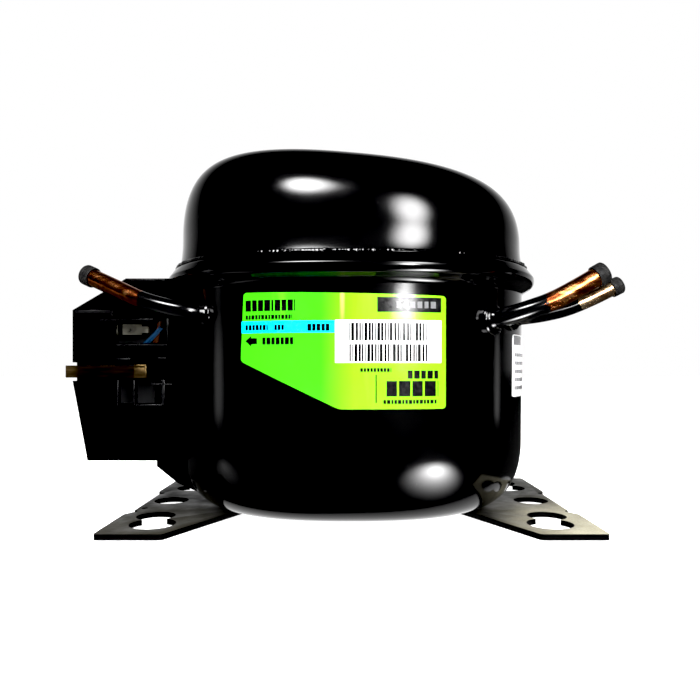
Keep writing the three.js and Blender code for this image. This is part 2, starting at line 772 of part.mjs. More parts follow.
// End turns of the copper windings, a padded ring above or below the core.
function winding(bottom, top) {
  const { windingInner: inner, windingOuter: outer } = motor;
  const round = 4;
  const profile = [
    [inner, bottom + round], [inner + round, bottom], [outer - round, bottom], [outer, bottom + round],
    [outer, top - round], [outer - round, top], [inner + round, top], [inner, top - round],
    [inner, bottom + round],
  ];
  return turned(profile, 24).translate(pump.axisX, 0, 0);
}

function statorBolt(u, v) {
  const place = [pump.axisX + u * motor.boltAt, v * motor.boltAt];
  const shank = rod(2.2, plateBottom - motor.coreBottom, [...place, motor.coreBottom - 2], [0, 0, 1], 12);
  const head = rod(4.6, 8, [...place, motor.coreBottom - gap - 8], [0, 0, 1], 12);
  return join(shank, head);
}

// Suspension spring between a peg in the bowl and a stator bolt's head.
class Helix extends THREE.Curve {
  getPoint(t, target = new THREE.Vector3()) {
    const angle = 2 * Math.PI * spring.turns * t;
    const z = spring.bottom + (spring.top - spring.bottom) * t;
    return target.set(spring.radius * Math.cos(angle), spring.radius * Math.sin(angle), z);
  }
}

function suspensionSpring(u, v) {
  const coil = pipe(new Helix(), spring.wire, 8 * spring.turns, 2);
  return coil.translate(pump.axisX + u * motor.boltAt, v * motor.boltAt, 0);
}

function springPeg(u, v) {
  const profile = [[0, 2], [8, 2], [8, 12.4], [4.6, 12.4], [4.6, 20], [3.4, 21.4], [0, 21.4]];
  const peg = turned(profile, 16).translate(pump.axisX + u * motor.boltAt, v * motor.boltAt, 0);
  return overlap(peg, filledCup(1));
}

function windingPlug() {
  const x = -75.6;
  const body = block([x, -11, terminal.z - 10], [x + 9, 11, terminal.z + 10]);
  return cut(body, ...onPins(terminal.pinRadius + gap, 6, x - 1));
}

// ---- finishes and assembly ----------------------------------------------------------

function finish(color, roughness, metalness) {
  return { color, roughness, metalness };
}

const blackPaint = finish(0x0b0b0c, 0.22, 0.3);
const plateSteel = finish(0x4a4744, 0.45, 0.6);
const copper = finish(0xb4683c, 0.35, 0.9);
const plastic = finish(0x131416, 0.5, 0);
const castIron = finish(0x5b5d60, 0.6, 0.7);
const machined = finish(0xa9adb2, 0.3, 0.9);
const zinc = finish(0xb9b6a6, 0.4, 0.8);

const assembly = new THREE.Group();

function add(name, geometry, { color, roughness, metalness }) {
  const material = new THREE.MeshStandardMaterial({ color, roughness, metalness });
  const mesh = new THREE.Mesh(closed(geometry), material);
  mesh.name = name;
  assembly.add(mesh);
}

add("lower_shell", lowerShell(), blackPaint);
add("top_cover", topCover(), blackPaint);
add("weld_bead", weldBead(), blackPaint);
add("left_foot", footPlate(-1), plateSteel);
add("right_foot", footPlate(1), plateSteel);
for (const name of Object.keys(tubes)) {
  add(`${name}_tube`, connectingTube(name), copper);
  add(`${name}_collar`, collar(name), blackPaint);
  add(`${name}_cap`, tubeCap(name), finish(0x2b2c2e, 0.7, 0));
}
add("name_label", nameLabel(), finish(0x7bd63c, 0.4, 0));
add("side_label", sideLabel(), finish(0xf2f2ee, 0.5, 0));

add("terminal_cover", terminalCover(), plastic);
add("cover_clip", coverClip(), finish(0x7a6338, 0.4, 0.8));
add("terminal_bracket", terminalBracket(), blackPaint);
add("hermetic_terminal", hermeticTerminal(), machined);
add("starter", starter(), finish(0x1d1e22, 0.5, 0));
add("overload_protector", overloadProtector(), finish(0x26262a, 0.4, 0.1));
add("earth_tab", earthTab(), zinc);
const leads = {
  blue_lead: {
    color: 0x2f6d9c,
    points: [[-104, -26, 66], [-98, -30, 77], [-91, -33.5, 83], [-86.5, -33.5, 88]],
  },
  brown_lead: {
    color: 0x9a5a32,
    points: [[-108, -24, 68], [-98, -25, 73], [-91, -27.5, 81], [-88, -30, 91]],
  },
};
for (const [name, { color, points }] of Object.entries(leads)) {
  add(name, wire(points), finish(color, 0.5, 0));
}

add("crankcase", crankcase(), castIron);
add("crankshaft", crankshaft(), machined);
add("counterweight", counterweight(), castIron);
add("rotor", rotor(), machined);
add("oil_pickup", oilPickup(), machined);
add("thrust_washer", thrustWasher(), machined);
add("connecting_rod", connectingRod(), castIron);
add("piston", piston(), castIron);
add("wrist_pin", wristPin(), machined);
add("cylinder_gasket", cylinderGasket(), finish(0x3a3f3a, 0.8, 0));
add("valve_plate", valvePlate(), machined);
add("suction_reed", reed(0.5, ports.suctionY, crankZ - 7.6, crankZ, 0.5), machined);
add("discharge_reed", reed(4.7, ports.dischargeY, crankZ - 7.6, crankZ, 0.5), machined);
add("head_gasket", headGasket(), finish(0x3a3f3a, 0.8, 0));
add("cylinder_head", cylinderHead(), castIron);
headBoltPlaces().forEach((place, i) => add(`head_bolt_${i + 1}`, headBolt(place), machined));
add("suction_muffler", suctionMuffler(), finish(0xd8cfb8, 0.5, 0));
add("discharge_muffler", dischargeMuffler(), machined);
add("discharge_line", dischargeLine(), copper);

add("stator_core", statorCore(), finish(0x6d7278, 0.5, 0.7));
add("lower_winding", winding(motor.coreBottom - gap - motor.windingHeight, motor.coreBottom - gap), copper);
add("upper_winding", winding(motor.coreTop + gap, motor.coreTop + gap + motor.windingHeight), copper);
corners.forEach(([u, v], i) => {
  add(`stator_bolt_${i + 1}`, statorBolt(u, v), machined);
  add(`spring_${i + 1}`, suspensionSpring(u, v), machined);
});
add("winding_plug", windingPlug(), finish(0xe6e2d6, 0.5, 0));

const extent = new THREE.Box3().setFromObject(assembly);
const middle = extent.getCenter(new THREE.Vector3());
assembly.position.set(-middle.x, -middle.y, -extent.min.z);

export default assembly;
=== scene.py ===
"""Looks of a small hermetic refrigeration compressor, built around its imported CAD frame.

Shapes are worked out in millimetres about the housing's own axis. `add_piece` turns them into
Blender's metres and moves them to where the CAD model stands.
"""

import json
import math

import bmesh
import bpy
from mathutils import Matrix, Vector, noise


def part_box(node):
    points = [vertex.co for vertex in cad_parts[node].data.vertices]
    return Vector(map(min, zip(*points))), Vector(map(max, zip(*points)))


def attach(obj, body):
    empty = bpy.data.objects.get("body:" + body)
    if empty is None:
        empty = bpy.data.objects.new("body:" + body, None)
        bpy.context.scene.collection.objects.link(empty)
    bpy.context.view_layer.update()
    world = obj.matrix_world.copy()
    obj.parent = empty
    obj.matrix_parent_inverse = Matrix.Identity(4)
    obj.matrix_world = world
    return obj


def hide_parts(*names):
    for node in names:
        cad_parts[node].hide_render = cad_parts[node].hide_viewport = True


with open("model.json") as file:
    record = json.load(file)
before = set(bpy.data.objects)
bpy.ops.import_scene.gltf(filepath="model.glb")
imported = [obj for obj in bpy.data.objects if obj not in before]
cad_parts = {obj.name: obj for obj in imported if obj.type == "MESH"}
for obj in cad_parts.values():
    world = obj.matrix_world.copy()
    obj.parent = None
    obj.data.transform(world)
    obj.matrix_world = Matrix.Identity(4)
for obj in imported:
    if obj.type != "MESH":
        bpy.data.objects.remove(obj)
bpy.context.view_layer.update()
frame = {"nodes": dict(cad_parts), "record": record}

MM = 0.001
shell_low, shell_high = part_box("lower_shell")
AXIS_X = (shell_low.x + shell_high.x) / 2 / MM  # the housing's axis in the row frame

# Housing, the same driving sizes as the CAD model
HALF_WIDTH = 82
HALF_DEPTH = 77
PLAN_POWER = 2.45
WALL = 3
BASE = 1
BOWL_RIM = 60
CORNER_TOP = 34
FLARE_START = 102.5
FLANGE_BOTTOM = 108
FLANGE_HALF = 87.4
SEAM = 114.3
COVER_HALF = 82.7  # where the cover enters the cup
COVER_WAIST = 81  # a little above it
COVER_SKIRT = 106.5
COVER_RISE = 46.3
COVER_TILT = 0.16

# Feet, given for the right one; the left one mirrors it and has the key hole too
FOOT_THICKNESS = 2.5
FOOT_OUTLINE = [
    (76.5, -68), (104.3, -68), (104.3, -31), (102, -29), (102, 21), (104.3, 23), (104.3, 68),
    (76.5, 68), (51, 18), (45, 9), (45, -9), (51, -18),
]
FOOT_HOLES = [(85.5, 50, 9.9), (85.5, -50, 9.9), (88.5, 35, 8.7), (88.5, -35, 8.7), (91, 0, 8.5)]
FOOT_NOTCHES = [(102, -25.5, 2), (102, 19, 2)]
FOOT_KEY_HOLE = (98.8, -18.6, 1.6)

# What passes through the wall on the -X side: the terminal, its height and radius
TERMINAL_Z = 70
TERMINAL_RADIUS = 16

BOX_FRONT = -40  # front face of the terminal box

# Pegs that hold the springs: their distance from the crankshaft's axis, which is at PUMP_X
PUMP_X = -10
PEG_AT = 33

# Connecting tubes: radius, bore radius, collar radius, where the paint ends, centre line
TUBES = {
    "suction": (3.7, 2.9, 5, 0.55, [
        (-54, -51.5, 91.4), (-60.8, -58.2, 91.9), (-67, -61.8, 92.7), (-76, -62.6, 94.4),
        (-87, -60.8, 97.6), (-100, -56, 103.4), (-112.5, -51.2, 109),
    ]),
    "process": (3.9, 3, 6.2, 0.58, [
        (50.5, -54.5, 88.8), (56.8, -61.4, 89.3), (62, -66, 90.2), (70, -69.2, 92.4),
        (80.4, -70.2, 96.2), (90, -70.2, 101.2), (100, -69.6, 107),
    ]),
    "discharge": (3.2, 2.4, 4.8, 0.68, [
        (60.5, -43.5, 90.4), (68, -49.6, 90.8), (73.5, -51.8, 91.2), (82, -51.8, 92.4),
        (92, -51, 94.8), (103, -50, 99.2), (114.5, -49, 104.8),
    ]),
}
CAP_WALL = 0.4
CAP_LENGTH = 4.8
CAP_OVERLAP = 3


# ---- outlines and curves ------------------------------------------------------------


def bend(start, control, end, steps=14):
    """The points after `start` of a quadratic curve."""
    shares = [i / steps for i in range(1, steps + 1)]
    return [
        tuple((1 - t) ** 2 * s + 2 * t * (1 - t) * c + t * t * e for s, c, e in zip(start, control, end))
        for t in shares
    ]


def line(start, end, steps=8):
    """The points after `start` of a straight stretch."""
    shares = [i / steps for i in range(1, steps + 1)]
    return [tuple(s + t * (e - s) for s, e in zip(start, end)) for t in shares]


def catmull_rom(points, steps=10):
    """A smooth curve through `points`, spaced by the square root of the distance between them."""
    knots = [Vector(p) for p in points]
    knots = [2 * knots[0] - knots[1], *knots, 2 * knots[-1] - knots[-2]]
    curve = []
    for before, start, end, after in zip(knots, knots[1:], knots[2:], knots[3:]):
        a, b, c = [(q - p).length ** 0.5 for p, q in ((before, start), (start, end), (end, after))]
        leave = ((start - before) / a - (end - before) / (a + b) + (end - start) / b) * b
        arrive = ((end - start) / b - (after - start) / (b + c) + (after - end) / c) * b
        for i in range(steps):
            t = i / steps
            bow = 2 * start - 2 * end + leave + arrive
            swing = 3 * end - 3 * start - 2 * leave - arrive
            curve.append(start + leave * t + swing * t * t + bow * t**3)
    curve.append(knots[-2].copy())
    return curve


def rounded(corners, radius, steps=5):
    """The outline with each corner turned into a curve that starts `radius` before it."""
    outline = []
    for before, corner, after in zip(corners[-1:] + corners[:-1], corners, corners[1:] + corners[:1]):
        corner = Vector(corner)
        ends = []
        for other in (before, after):
            away = Vector(other) - corner
            ends.append(corner + away.normalized() * min(radius, away.length / 2.1))
        outline.append(tuple(ends[0]))
        outline += bend(ends[0], corner, ends[1], steps)
    return outline


def rectangle(x0, z0, x1, z1):
    return [(x0, z0), (x1, z0), (x1, z1), (x0, z1)]


def plan_swell(angle):
    """Radius of the unit superellipse in the direction `angle`."""
    total = abs(math.cos(angle)) ** PLAN_POWER + abs(math.sin(angle)) ** PLAN_POWER
    return total ** (-1 / PLAN_POWER)


def housing_point(radius, angle, z, tilt=0):
    """A point of the housing, whose plan is a superellipse. `tilt` slopes what is above the seam."""
    swell = plan_swell(angle)
    x = radius * math.cos(angle) * swell
    y = radius * math.sin(angle) * swell * HALF_DEPTH / HALF_WIDTH
    rise = max(0, z - SEAM)
    return Vector((x, y, z - rise * tilt * x / COVER_HALF))


def wall_radius(z):
    return HALF_WIDTH - (FLARE_START - z) * 0.4 / (FLARE_START - CORNER_TOP)


def front_wall(x, z, lift):
    """The point of the front wall at that x and height, `lift` outside its surface."""
    radius = wall_radius(z) + lift
    share = min(abs(x) / radius, 1)
    y = -radius * HALF_DEPTH / HALF_WIDTH * (1 - share**PLAN_POWER) ** (1 / PLAN_POWER)
    return Vector((x, y, z))


def side_wall(y, z, lift):
    """The same on the +X wall, at that y."""
    radius = wall_radius(z) + lift
    share = min(abs(y) / (radius * HALF_DEPTH / HALF_WIDTH), 1)
    return Vector((radius * (1 - share**PLAN_POWER) ** (1 / PLAN_POWER), y, z))


# ---- meshes -------------------------------------------------------------------------


def add_piece(name, mesh, look, body, nodes=(), smooth=50):
    """Puts a mesh drawn in millimetres into the scene, as a piece that rides on a CAD body."""
    mesh.transform(Matrix.Scale(MM, 4) @ Matrix.Translation((AXIS_X, 0, 0)))
    return place_piece(name, mesh, look, body, nodes, smooth)


def place_piece(name, mesh, look, body, nodes=(), smooth=50):
    mesh.name = name
    mesh.materials.clear()
    mesh.materials.append(look)
    piece = bpy.data.objects.new(name, mesh)
    bpy.context.scene.collection.objects.link(piece)
    shade(mesh, smooth)
    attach(piece, body)
    if nodes:
        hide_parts(*nodes)
    return piece


def shade(mesh, angle):
    """Smooth shading, except across edges sharper than `angle` degrees."""
    form = bmesh.new()
    form.from_mesh(mesh)
    for face in form.faces:
        face.smooth = True
    for edge in form.edges:
        edge.smooth = edge.calc_face_angle(0) < math.radians(angle)
    form.to_mesh(mesh)
    form.free()


def finished(form, weld=0.0005):
    """Closes a bmesh: shared corners joined, faces pointing out."""
    bmesh.ops.remove_doubles(form, verts=form.verts, dist=weld)
    bmesh.ops.recalc_face_normals(form, faces=form.faces)
    mesh = bpy.data.meshes.new("piece")
    form.to_mesh(mesh)
    form.free()
    return mesh


def joined(*meshes):
    """One mesh of several closed bodies."""
    form = bmesh.new()
    for mesh in meshes:
        form.from_mesh(mesh)
    mesh = bpy.data.meshes.new("joined")
    form.to_mesh(mesh)
    form.free()
    return mesh


def skin(rings, loop=False):
    """Faces between rings of points. A ring of one point closes the form there."""
    form = bmesh.new()
    rows = [[form.verts.new(p) for p in ring] for ring in rings]
    for low, high in zip(rows, rows[1:] + rows[:1] if loop else rows[1:]):
        count = max(len(low), len(high))
        for i in range(count):
            j = (i + 1) % count
            corners = [low[i % len(low)], low[j % len(low)], high[j % len(high)], high[i % len(high)]]
            corners = list(dict.fromkeys(corners))
            if len(corners) > 2:
                form.faces.new(corners)
    return finished(form)


def turned(outline, segments, tilt=0, loop=False, ripple=None):
    """The housing's plan swept along an outline of (radius, height) points."""
    rings = []
    for i, (radius, z) in enumerate(outline):
        if radius < 0.01:
            rings.append([housing_point(0, 0, z, tilt)])
            continue
        angles = [2 * math.pi * k / segments for k in range(segments)]
        grow = [ripple(angle, i) if ripple else 0 for angle in angles]
        rings.append([housing_point(radius + g, a, z + g * 0.6, tilt) for a, g in zip(angles, grow)])
    return skin(rings, loop)


def sweep(path, profile, loop=False):
    """Round sections along a path. `profile` gives (share of the path, radius) stations."""
    tangents = [(b - a).normalized() for a, b in zip(path, path[1:])]
    tangents.append(tangents[-1])
    side = tangents[0].orthogonal().normalized()
    frames = []
    for point, tangent in zip(path, tangents):
        side = (side - tangent * side.dot(tangent)).normalized()
        frames.append((point, side, tangent.cross(side)))
    rings = []
    for place, radius in profile:
        spot = place * (len(path) - 1)
        i = min(int(spot), len(path) - 2)
        share = spot - i
        centre, u, v = [a.lerp(b, share) for a, b in zip(frames[i], frames[i + 1])]
        if radius < 0.01:
            rings.append([centre])
            continue
        angles = [2 * math.pi * k / TUBE_SIDES for k in range(TUBE_SIDES)]
        rings.append([centre + radius * (u * math.cos(a) + v * math.sin(a)) for a in angles])
    return skin(rings, loop)


TUBE_SIDES = 32


def lathe(profile, centre, direction, sides=40):
    """A round body from (radius, distance along the axis) points."""
    turn = Vector((0, 0, 1)).rotation_difference(Vector(direction)).to_matrix()
    rings = []
    for radius, z in profile:
        if radius < 0.01:
            rings.append([Vector(centre) + turn @ Vector((0, 0, z))])
            continue
        angles = [2 * math.pi * k / sides for k in range(sides)]
        ring = [Vector((radius * math.cos(a), radius * math.sin(a), z)) for a in angles]
        rings.append([Vector(centre) + turn @ p for p in ring])
    return skin(rings, loop=profile[0][0] > 0.01 and profile[-1][0] > 0.01)


def drilled(mesh, *tools):
    """The mesh less the tools, which are closed meshes too."""
    collection = bpy.context.scene.collection
    target = bpy.data.objects.new("target", mesh)
    collection.objects.link(target)
    helpers = []
    for tool in tools:
        helper = bpy.data.objects.new("tool", tool)
        collection.objects.link(helper)
        helpers.append(helper)
        cut = target.modifiers.new("cut", "BOOLEAN")
        cut.operation = "DIFFERENCE"
        cut.solver = "EXACT"
        cut.object = helper
    graph = bpy.context.evaluated_depsgraph_get()
    result = bpy.data.meshes.new_from_object(target.evaluated_get(graph))
    for helper in (target, *helpers):
        bpy.data.objects.remove(helper)
    return result


def softened(form, edge):
    """Rounds the edges of a bmesh that are sharper than 25 degrees."""
    bmesh.ops.dissolve_limit(form, angle_limit=math.radians(1), verts=form.verts, edges=form.edges)
    sharp = [e for e in form.edges if e.calc_face_angle(0) > math.radians(25)]
    bmesh.ops.bevel(
        form, geom=sharp, offset=edge, segments=2, affect="EDGES", profile=0.6, clamp_overlap=True
    )
    return finished(form, weld=0.001)


def extruded(outline, thickness):
    """A flat plate from z = 0 upwards."""
    form = bmesh.new()
    face = form.faces.new([form.verts.new((x, y, 0)) for x, y in outline])
    raised = bmesh.ops.extrude_face_region(form, geom=[face])["geom"]
    for vertex in (v for v in raised if isinstance(v, bmesh.types.BMVert)):
        vertex.co.z = thickness
    return finished(form)


def wall_slab(outlines, place, low, high, pitch=2.0):
    """Thin closed slabs that lie on the wall: `place(u, v, lift)` bends each flat outline onto it."""
    form = bmesh.new()
    for outline in outlines:
        form.faces.new([form.verts.new((u, v, low)) for u, v in outline])
    edge = min(v.co.x for v in form.verts)
    far = max(v.co.x for v in form.verts)
    while edge < far:
        everything = form.verts[:] + form.edges[:] + form.faces[:]
        bmesh.ops.bisect_plane(form, geom=everything, plane_co=(edge, 0, 0), plane_no=(1, 0, 0))
        edge += pitch
    lifted = bmesh.ops.extrude_face_region(form, geom=form.faces[:])["geom"]
    for vertex in (v for v in lifted if isinstance(v, bmesh.types.BMVert)):
        vertex.co.z = high
    for vertex in form.verts:
        vertex.co = place(*vertex.co)
    return finished(form, weld=0.0001)


def bevelled_box(low, high, edge=0.5, segments=2):
    form = bmesh.new()
    bmesh.ops.create_cube(form, size=1)
    size = Vector(high) - Vector(low)
    for vertex in form.verts:
        vertex.co = Vector(low) + Vector((c + 0.5) * s for c, s in zip(vertex.co, size))
    bmesh.ops.bevel(form, geom=form.edges[:], offset=edge, segments=segments, affect="EDGES", profile=0.5)
    return finished(form)


def refined(node, edge):
    """A copy of a CAD node's mesh, in millimetres about the axis, with softened edges."""
    form = bmesh.new()
    form.from_mesh(frame["nodes"][node].data)
    bmesh.ops.remove_doubles(form, verts=form.verts, dist=1e-6)
    form.transform(Matrix.Translation((-AXIS_X, 0, 0)) @ Matrix.Scale(1 / MM, 4))
    return softened(form, edge)


# ---- materials ----------------------------------------------------------------------


class Look:
    """A procedural material. Sizes given to its methods are millimetres."""

    def __init__(self, name, colour, rough, metal=0.0, shine=0.5):
        self.material = bpy.data.materials.new(name)
        self.material.use_nodes = True
        self.tree = self.material.node_tree
        self.shader = self.tree.nodes["Principled BSDF"]
        self.shader.inputs["Base Color"].default_value = (*colour, 1)
        self.shader.inputs["Roughness"].default_value = rough
        self.shader.inputs["Metallic"].default_value = metal
        self.shader.inputs["Specular IOR Level"].default_value = shine
        self.place = self.node("ShaderNodeTexCoord").outputs["Object"]
        self.height = None

    def node(self, kind, **inputs):
        made = self.tree.nodes.new(kind)
        for name, value in inputs.items():
            self.put(made.inputs[name.replace("_", " ")], value)
        return made

    def put(self, socket, value):
        if isinstance(value, bpy.types.NodeSocket):
            self.tree.links.new(value, socket)
        else:
            socket.default_value = value

    def drive(self, name, value):
        self.put(self.shader.inputs[name], value)

    def stretched(self, stretch):
        """Object coordinates scaled along each axis, for grain that runs one way."""
        return self.node("ShaderNodeMapping", Vector=self.place, Scale=stretch).outputs["Vector"]

    def grain(self, size, detail=3.0, stretch=None):
        """Cloudy noise whose features are about `size` across."""
        where = self.stretched(stretch) if stretch else self.place
        made = self.node("ShaderNodeTexNoise", Vector=where, Scale=1 / (size * MM), Detail=detail)
        return made.outputs["Fac"]

    def specks(self, spacing, radius):
        """1 inside small scattered spots, 0 elsewhere."""
        made = self.node("ShaderNodeTexVoronoi", Vector=self.place, Scale=1 / (spacing * MM))
        edge = self.math("DIVIDE", radius, spacing)
        return self.math("LESS_THAN", made.outputs["Distance"], edge)

    def bands(self, spacing, direction="Z", distortion=0.0):
        """Bands across one axis."""
        made = self.node("ShaderNodeTexWave", Vector=self.place, Distortion=distortion)
        made.bands_direction = direction
        made.inputs["Scale"].default_value = math.pi / 10 / (spacing * MM)
        return made.outputs["Fac"]

    def along(self, axis, low, high):
        """0 at `low` to 1 at `high` along an axis of the object, in millimetres about the housing's axis."""
        offset = AXIS_X if axis == "X" else 0
        split = self.node("ShaderNodeSeparateXYZ", Vector=self.place)
        made = self.node("ShaderNodeMapRange", Value=split.outputs[axis])
        made.inputs["From Min"].default_value = (low + offset) * MM
        made.inputs["From Max"].default_value = (high + offset) * MM
        return made.outputs["Result"]

    def attribute(self, name):
        made = self.tree.nodes.new("ShaderNodeAttribute")
        made.attribute_name = name
        return made.outputs["Fac"]

    def math(self, operation, a, b=0.0):
        made = self.tree.nodes.new("ShaderNodeMath")
        made.operation = operation
        self.put(made.inputs[0], a)
        self.put(made.inputs[1], b)
        return made.outputs[0]

    def ramp(self, value, *stops):
        """Maps a number to a colour or a grey through (position, colour or number) stops."""
        made = self.node("ShaderNodeValToRGB", Fac=value)
        elements = made.color_ramp.elements
        while len(elements) < len(stops):
            elements.new(0.5)
        for element, (position, colour) in zip(elements, stops):
            element.position = position
            element.color = (*colour, 1) if isinstance(colour, tuple) else (colour, colour, colour, 1)
        return made.outputs["Color"]

    def blend(self, share, a, b):
        """`a` where share is 0, `b` where it is 1."""
        made = self.tree.nodes.new("ShaderNodeMix")
        made.data_type = "RGBA"
        self.put(made.inputs["Factor"], share)
        for socket, value in ((made.inputs[6], a), (made.inputs[7], b)):
            if isinstance(value, (int, float)):
                value = (value, value, value)
            self.put(socket, (*value, 1) if isinstance(value, tuple) else value)
        return made.outputs[2]

    def multiplied(self, a, b):
        made = self.tree.nodes.new("ShaderNodeMix")
        made.data_type = "RGBA"
        made.blend_type = "MULTIPLY"
        made.inputs["Factor"].default_value = 1
        self.put(made.inputs[6], a)
        self.put(made.inputs[7], b)
        return made.outputs[2]

    def upward(self):
        """How far the surface faces up: 1 on a level top, 0 on an upright wall."""
        facing = self.node("ShaderNodeNewGeometry").outputs["Normal"]
        return self.node("ShaderNodeSeparateXYZ", Vector=facing).outputs["Z"]

    def pool(self, centre, radii, turn):
        """1 at the centre of an ellipse on the ground, fading to 0 at its rim. `turn` is in degrees."""
        where = self.node("ShaderNodeMapping", Vector=self.place)
        where.vector_type = "TEXTURE"
        where.inputs["Location"].default_value = ((centre[0] + AXIS_X) * MM, centre[1] * MM, 0)
        where.inputs["Rotation"].default_value = (0, 0, math.radians(turn))
        where.inputs["Scale"].default_value = (radii[0] * MM, radii[1] * MM, 1)
        fade = self.node("ShaderNodeTexGradient", Vector=where.outputs["Vector"])
        fade.gradient_type = "SPHERICAL"
        return fade.outputs["Fac"]

    def bump(self, height, depth, strength=1.0):
        """Relief of `depth` millimetres. Each call adds to the ones before."""
        made = self.node("ShaderNodeBump", Height=height, Strength=strength, Distance=depth * MM)
        if self.height:
            self.put(made.inputs["Normal"], self.height)
        self.height = made.outputs["Normal"]
        self.drive("Normal", self.height)


def gloss_paint():
    """Black enamel with orange peel and a few dust specks."""
    look = Look("gloss_black_paint", (0.0004, 0.0004, 0.0005), 0.15, shine=0.32)
    clouds = look.grain(28, 4)
    dust = look.math("MULTIPLY", look.specks(6.5, 0.2), look.math("GREATER_THAN", look.grain(17), 0.5))
    tone = look.ramp(clouds, (0.3, (0.0002, 0.0002, 0.0003)), (0.7, (0.0009, 0.0009, 0.001)))
    look.drive("Base Color", look.blend(dust, tone, (0.02, 0.019, 0.018)))
    shine = look.ramp(look.grain(9, 5), (0.3, 0.09), (0.75, 0.13))
    look.drive("Roughness", look.blend(dust, shine, 0.6))
    look.bump(look.grain(2.6, 2), 0.02, 0.3)
    look.bump(look.grain(14, 2), 0.08, 0.25)
    return look.material


def foot_paint():
    """Thin satin coat with an uneven tone, lightest at the outer front: painted shade and painted reflection
    of the black housing darken it towards the rear and in towards the housing, and painted shade makes every
    face that does not face up black.
    """
    look = Look("foot_coating", (0.2, 0.19, 0.145), 0.5, metal=0.1, shine=0.15)
    rub = look.ramp(look.grain(13, 6), (0.3, (0.3, 0.278, 0.2)), (0.7, (0.47, 0.44, 0.325)))
    fine = look.ramp(look.grain(0.9, 4), (0.35, 0.82), (0.7, 1.12))
    # Painted shade and painted reflection of the black housing: the coat darkens towards the rear and in
    # towards the housing.
    painted_rear_shade = look.ramp(look.along("Y", -68, 20), (0.0, 1.0), (0.55, 0.62), (0.8, 0.12), (1.0, 0.05))
    aside = look.math("ABSOLUTE", look.along("X", 0, 104))
    inner = look.ramp(aside, (0.6, 0.06), (0.78, 0.75), (0.9, 1.0))
    tone = look.multiplied(look.multiplied(rub, fine), look.multiplied(painted_rear_shade, inner))
    # Painted shade: every face that does not face up is made black and almost without shine.
    flat = look.math("GREATER_THAN", look.upward(), 0.6)
    look.drive("Base Color", look.blend(flat, (0.0015, 0.0015, 0.0015), tone))
    look.drive("Specular IOR Level", look.blend(flat, 0.02, 0.15))
    look.drive("Roughness", look.ramp(look.grain(6, 5), (0.3, 0.4), (0.75, 0.6)))
    look.bump(look.grain(0.7, 4), 0.04, 0.3)
    return look.material


def tube_copper(name, dark, middle, light):
    """Drawn copper with a bloom in three tones; black paint covers it near the housing."""
    look = Look(name, middle, 0.22, metal=1.0)
    drawn = look.grain(1.5, 5, (0.16, 1, 0.7))
    bloom = look.ramp(drawn, (0.3, dark), (0.52, middle), (0.72, light))
    cloud = look.ramp(look.grain(6, 4), (0.3, 0.6), (0.7, 1.05))
    edge = look.math("MULTIPLY", look.math("SUBTRACT", look.grain(2.2, 4), 0.5), 0.12)
    painted = look.math("LESS_THAN", look.math("ADD", look.attribute("reach"), edge), 0.0)
    look.drive("Base Color", look.blend(painted, look.multiplied(bloom, cloud), (0.001, 0.001, 0.0012)))
    look.drive("Metallic", look.math("SUBTRACT", 1.0, painted))
    shine = look.ramp(drawn, (0.3, 0.16), (0.7, 0.3))
    look.drive("Roughness", look.blend(painted, shine, 0.12))
    look.drive("Specular IOR Level", look.blend(painted, 0.5, 0.4))
    look.bump(drawn, 0.03, 0.35)
    return look.material


def cap_rubber():
    look = Look("cap_rubber", (0.007, 0.007, 0.007), 0.5, shine=0.12)
    tone = look.ramp(look.grain(2, 5), (0.3, (0.004, 0.004, 0.0045)), (0.7, (0.011, 0.0105, 0.01)))
    look.drive("Base Color", tone)
    look.drive("Roughness", look.ramp(look.grain(1, 3), (0.3, 0.42), (0.7, 0.58)))
    look.bump(look.grain(0.5, 3), 0.015, 0.3)
    return look.material


def label_film(name, left, right):
    """Printed film whose colour shifts from left to right, with soft creases and a painted highlight: a pale
    streak along one crease.
    """
    look = Look(name, left, 0.32, shine=0.45)
    shift = look.along("X", -44, 36)
    tone = look.ramp(shift, (0.0, left), (0.4, left), (0.56, right), (1.0, right))
    wave = look.grain(14, 2, (1.8, 1, 0.3))
    paler = tuple(min(1, c * 1.15 + 0.02) for c in right)
    tone = look.blend(look.ramp(wave, (0.6, 0.0), (0.8, 0.6)), tone, paler)
    # Painted highlight: a pale yellow-green streak in the colour along one upright crease, on the upper part
    # of the film.
    crease = look.ramp(shift, (0.49, 0.0), (0.505, 1.0), (0.52, 0.0))
    crease_highlight = look.math("MULTIPLY", crease, look.along("Z", 84, 97))
    look.drive("Base Color", look.blend(crease_highlight, tone, (0.5, 0.7, 0.12)))
    look.drive("Roughness", look.ramp(look.grain(5, 3), (0.3, 0.13), (0.7, 0.19)))
    look.bump(look.grain(24, 2, (1.4, 1, 0.4)), 0.25, 0.5)
    look.bump(look.grain(0.5, 2), 0.01, 0.2)
    return look.material


def print_ink(name, colour, rough=0.2):
    """Printed colour with slightly uneven cover."""
    look = Look(name, colour, rough, shine=0.35)
    worn = tuple(min(1, c * 1.08 + 0.001) for c in colour)
    look.drive("Base Color", look.ramp(look.grain(3, 6), (0.35, colour), (0.75, worn)))
    look.drive("Roughness", look.ramp(look.grain(1.4, 4), (0.3, rough - 0.05), (0.7, rough + 0.1)))
    look.bump(look.grain(0.4, 3), 0.01, 0.3)
    return look.material


def moulded(name, colour, rough=0.5, texture=0.5, shine=0.35):
    """Plastic with a fine spark-eroded texture and faint flow marks."""
    look = Look(name, colour, rough, shine=shine)
    lighter = tuple(c * 1.9 for c in colour)
    look.drive("Base Color", look.ramp(look.grain(18, 5, (1, 1, 2)), (0.3, colour), (0.75, lighter)))
    look.drive("Roughness", look.ramp(look.grain(2.2, 5), (0.3, rough - 0.09), (0.7, rough + 0.1)))
    look.bump(look.grain(texture, 2), 0.05, 0.3)
    look.bump(look.grain(30, 1), 0.3, 0.2)
    return look.material


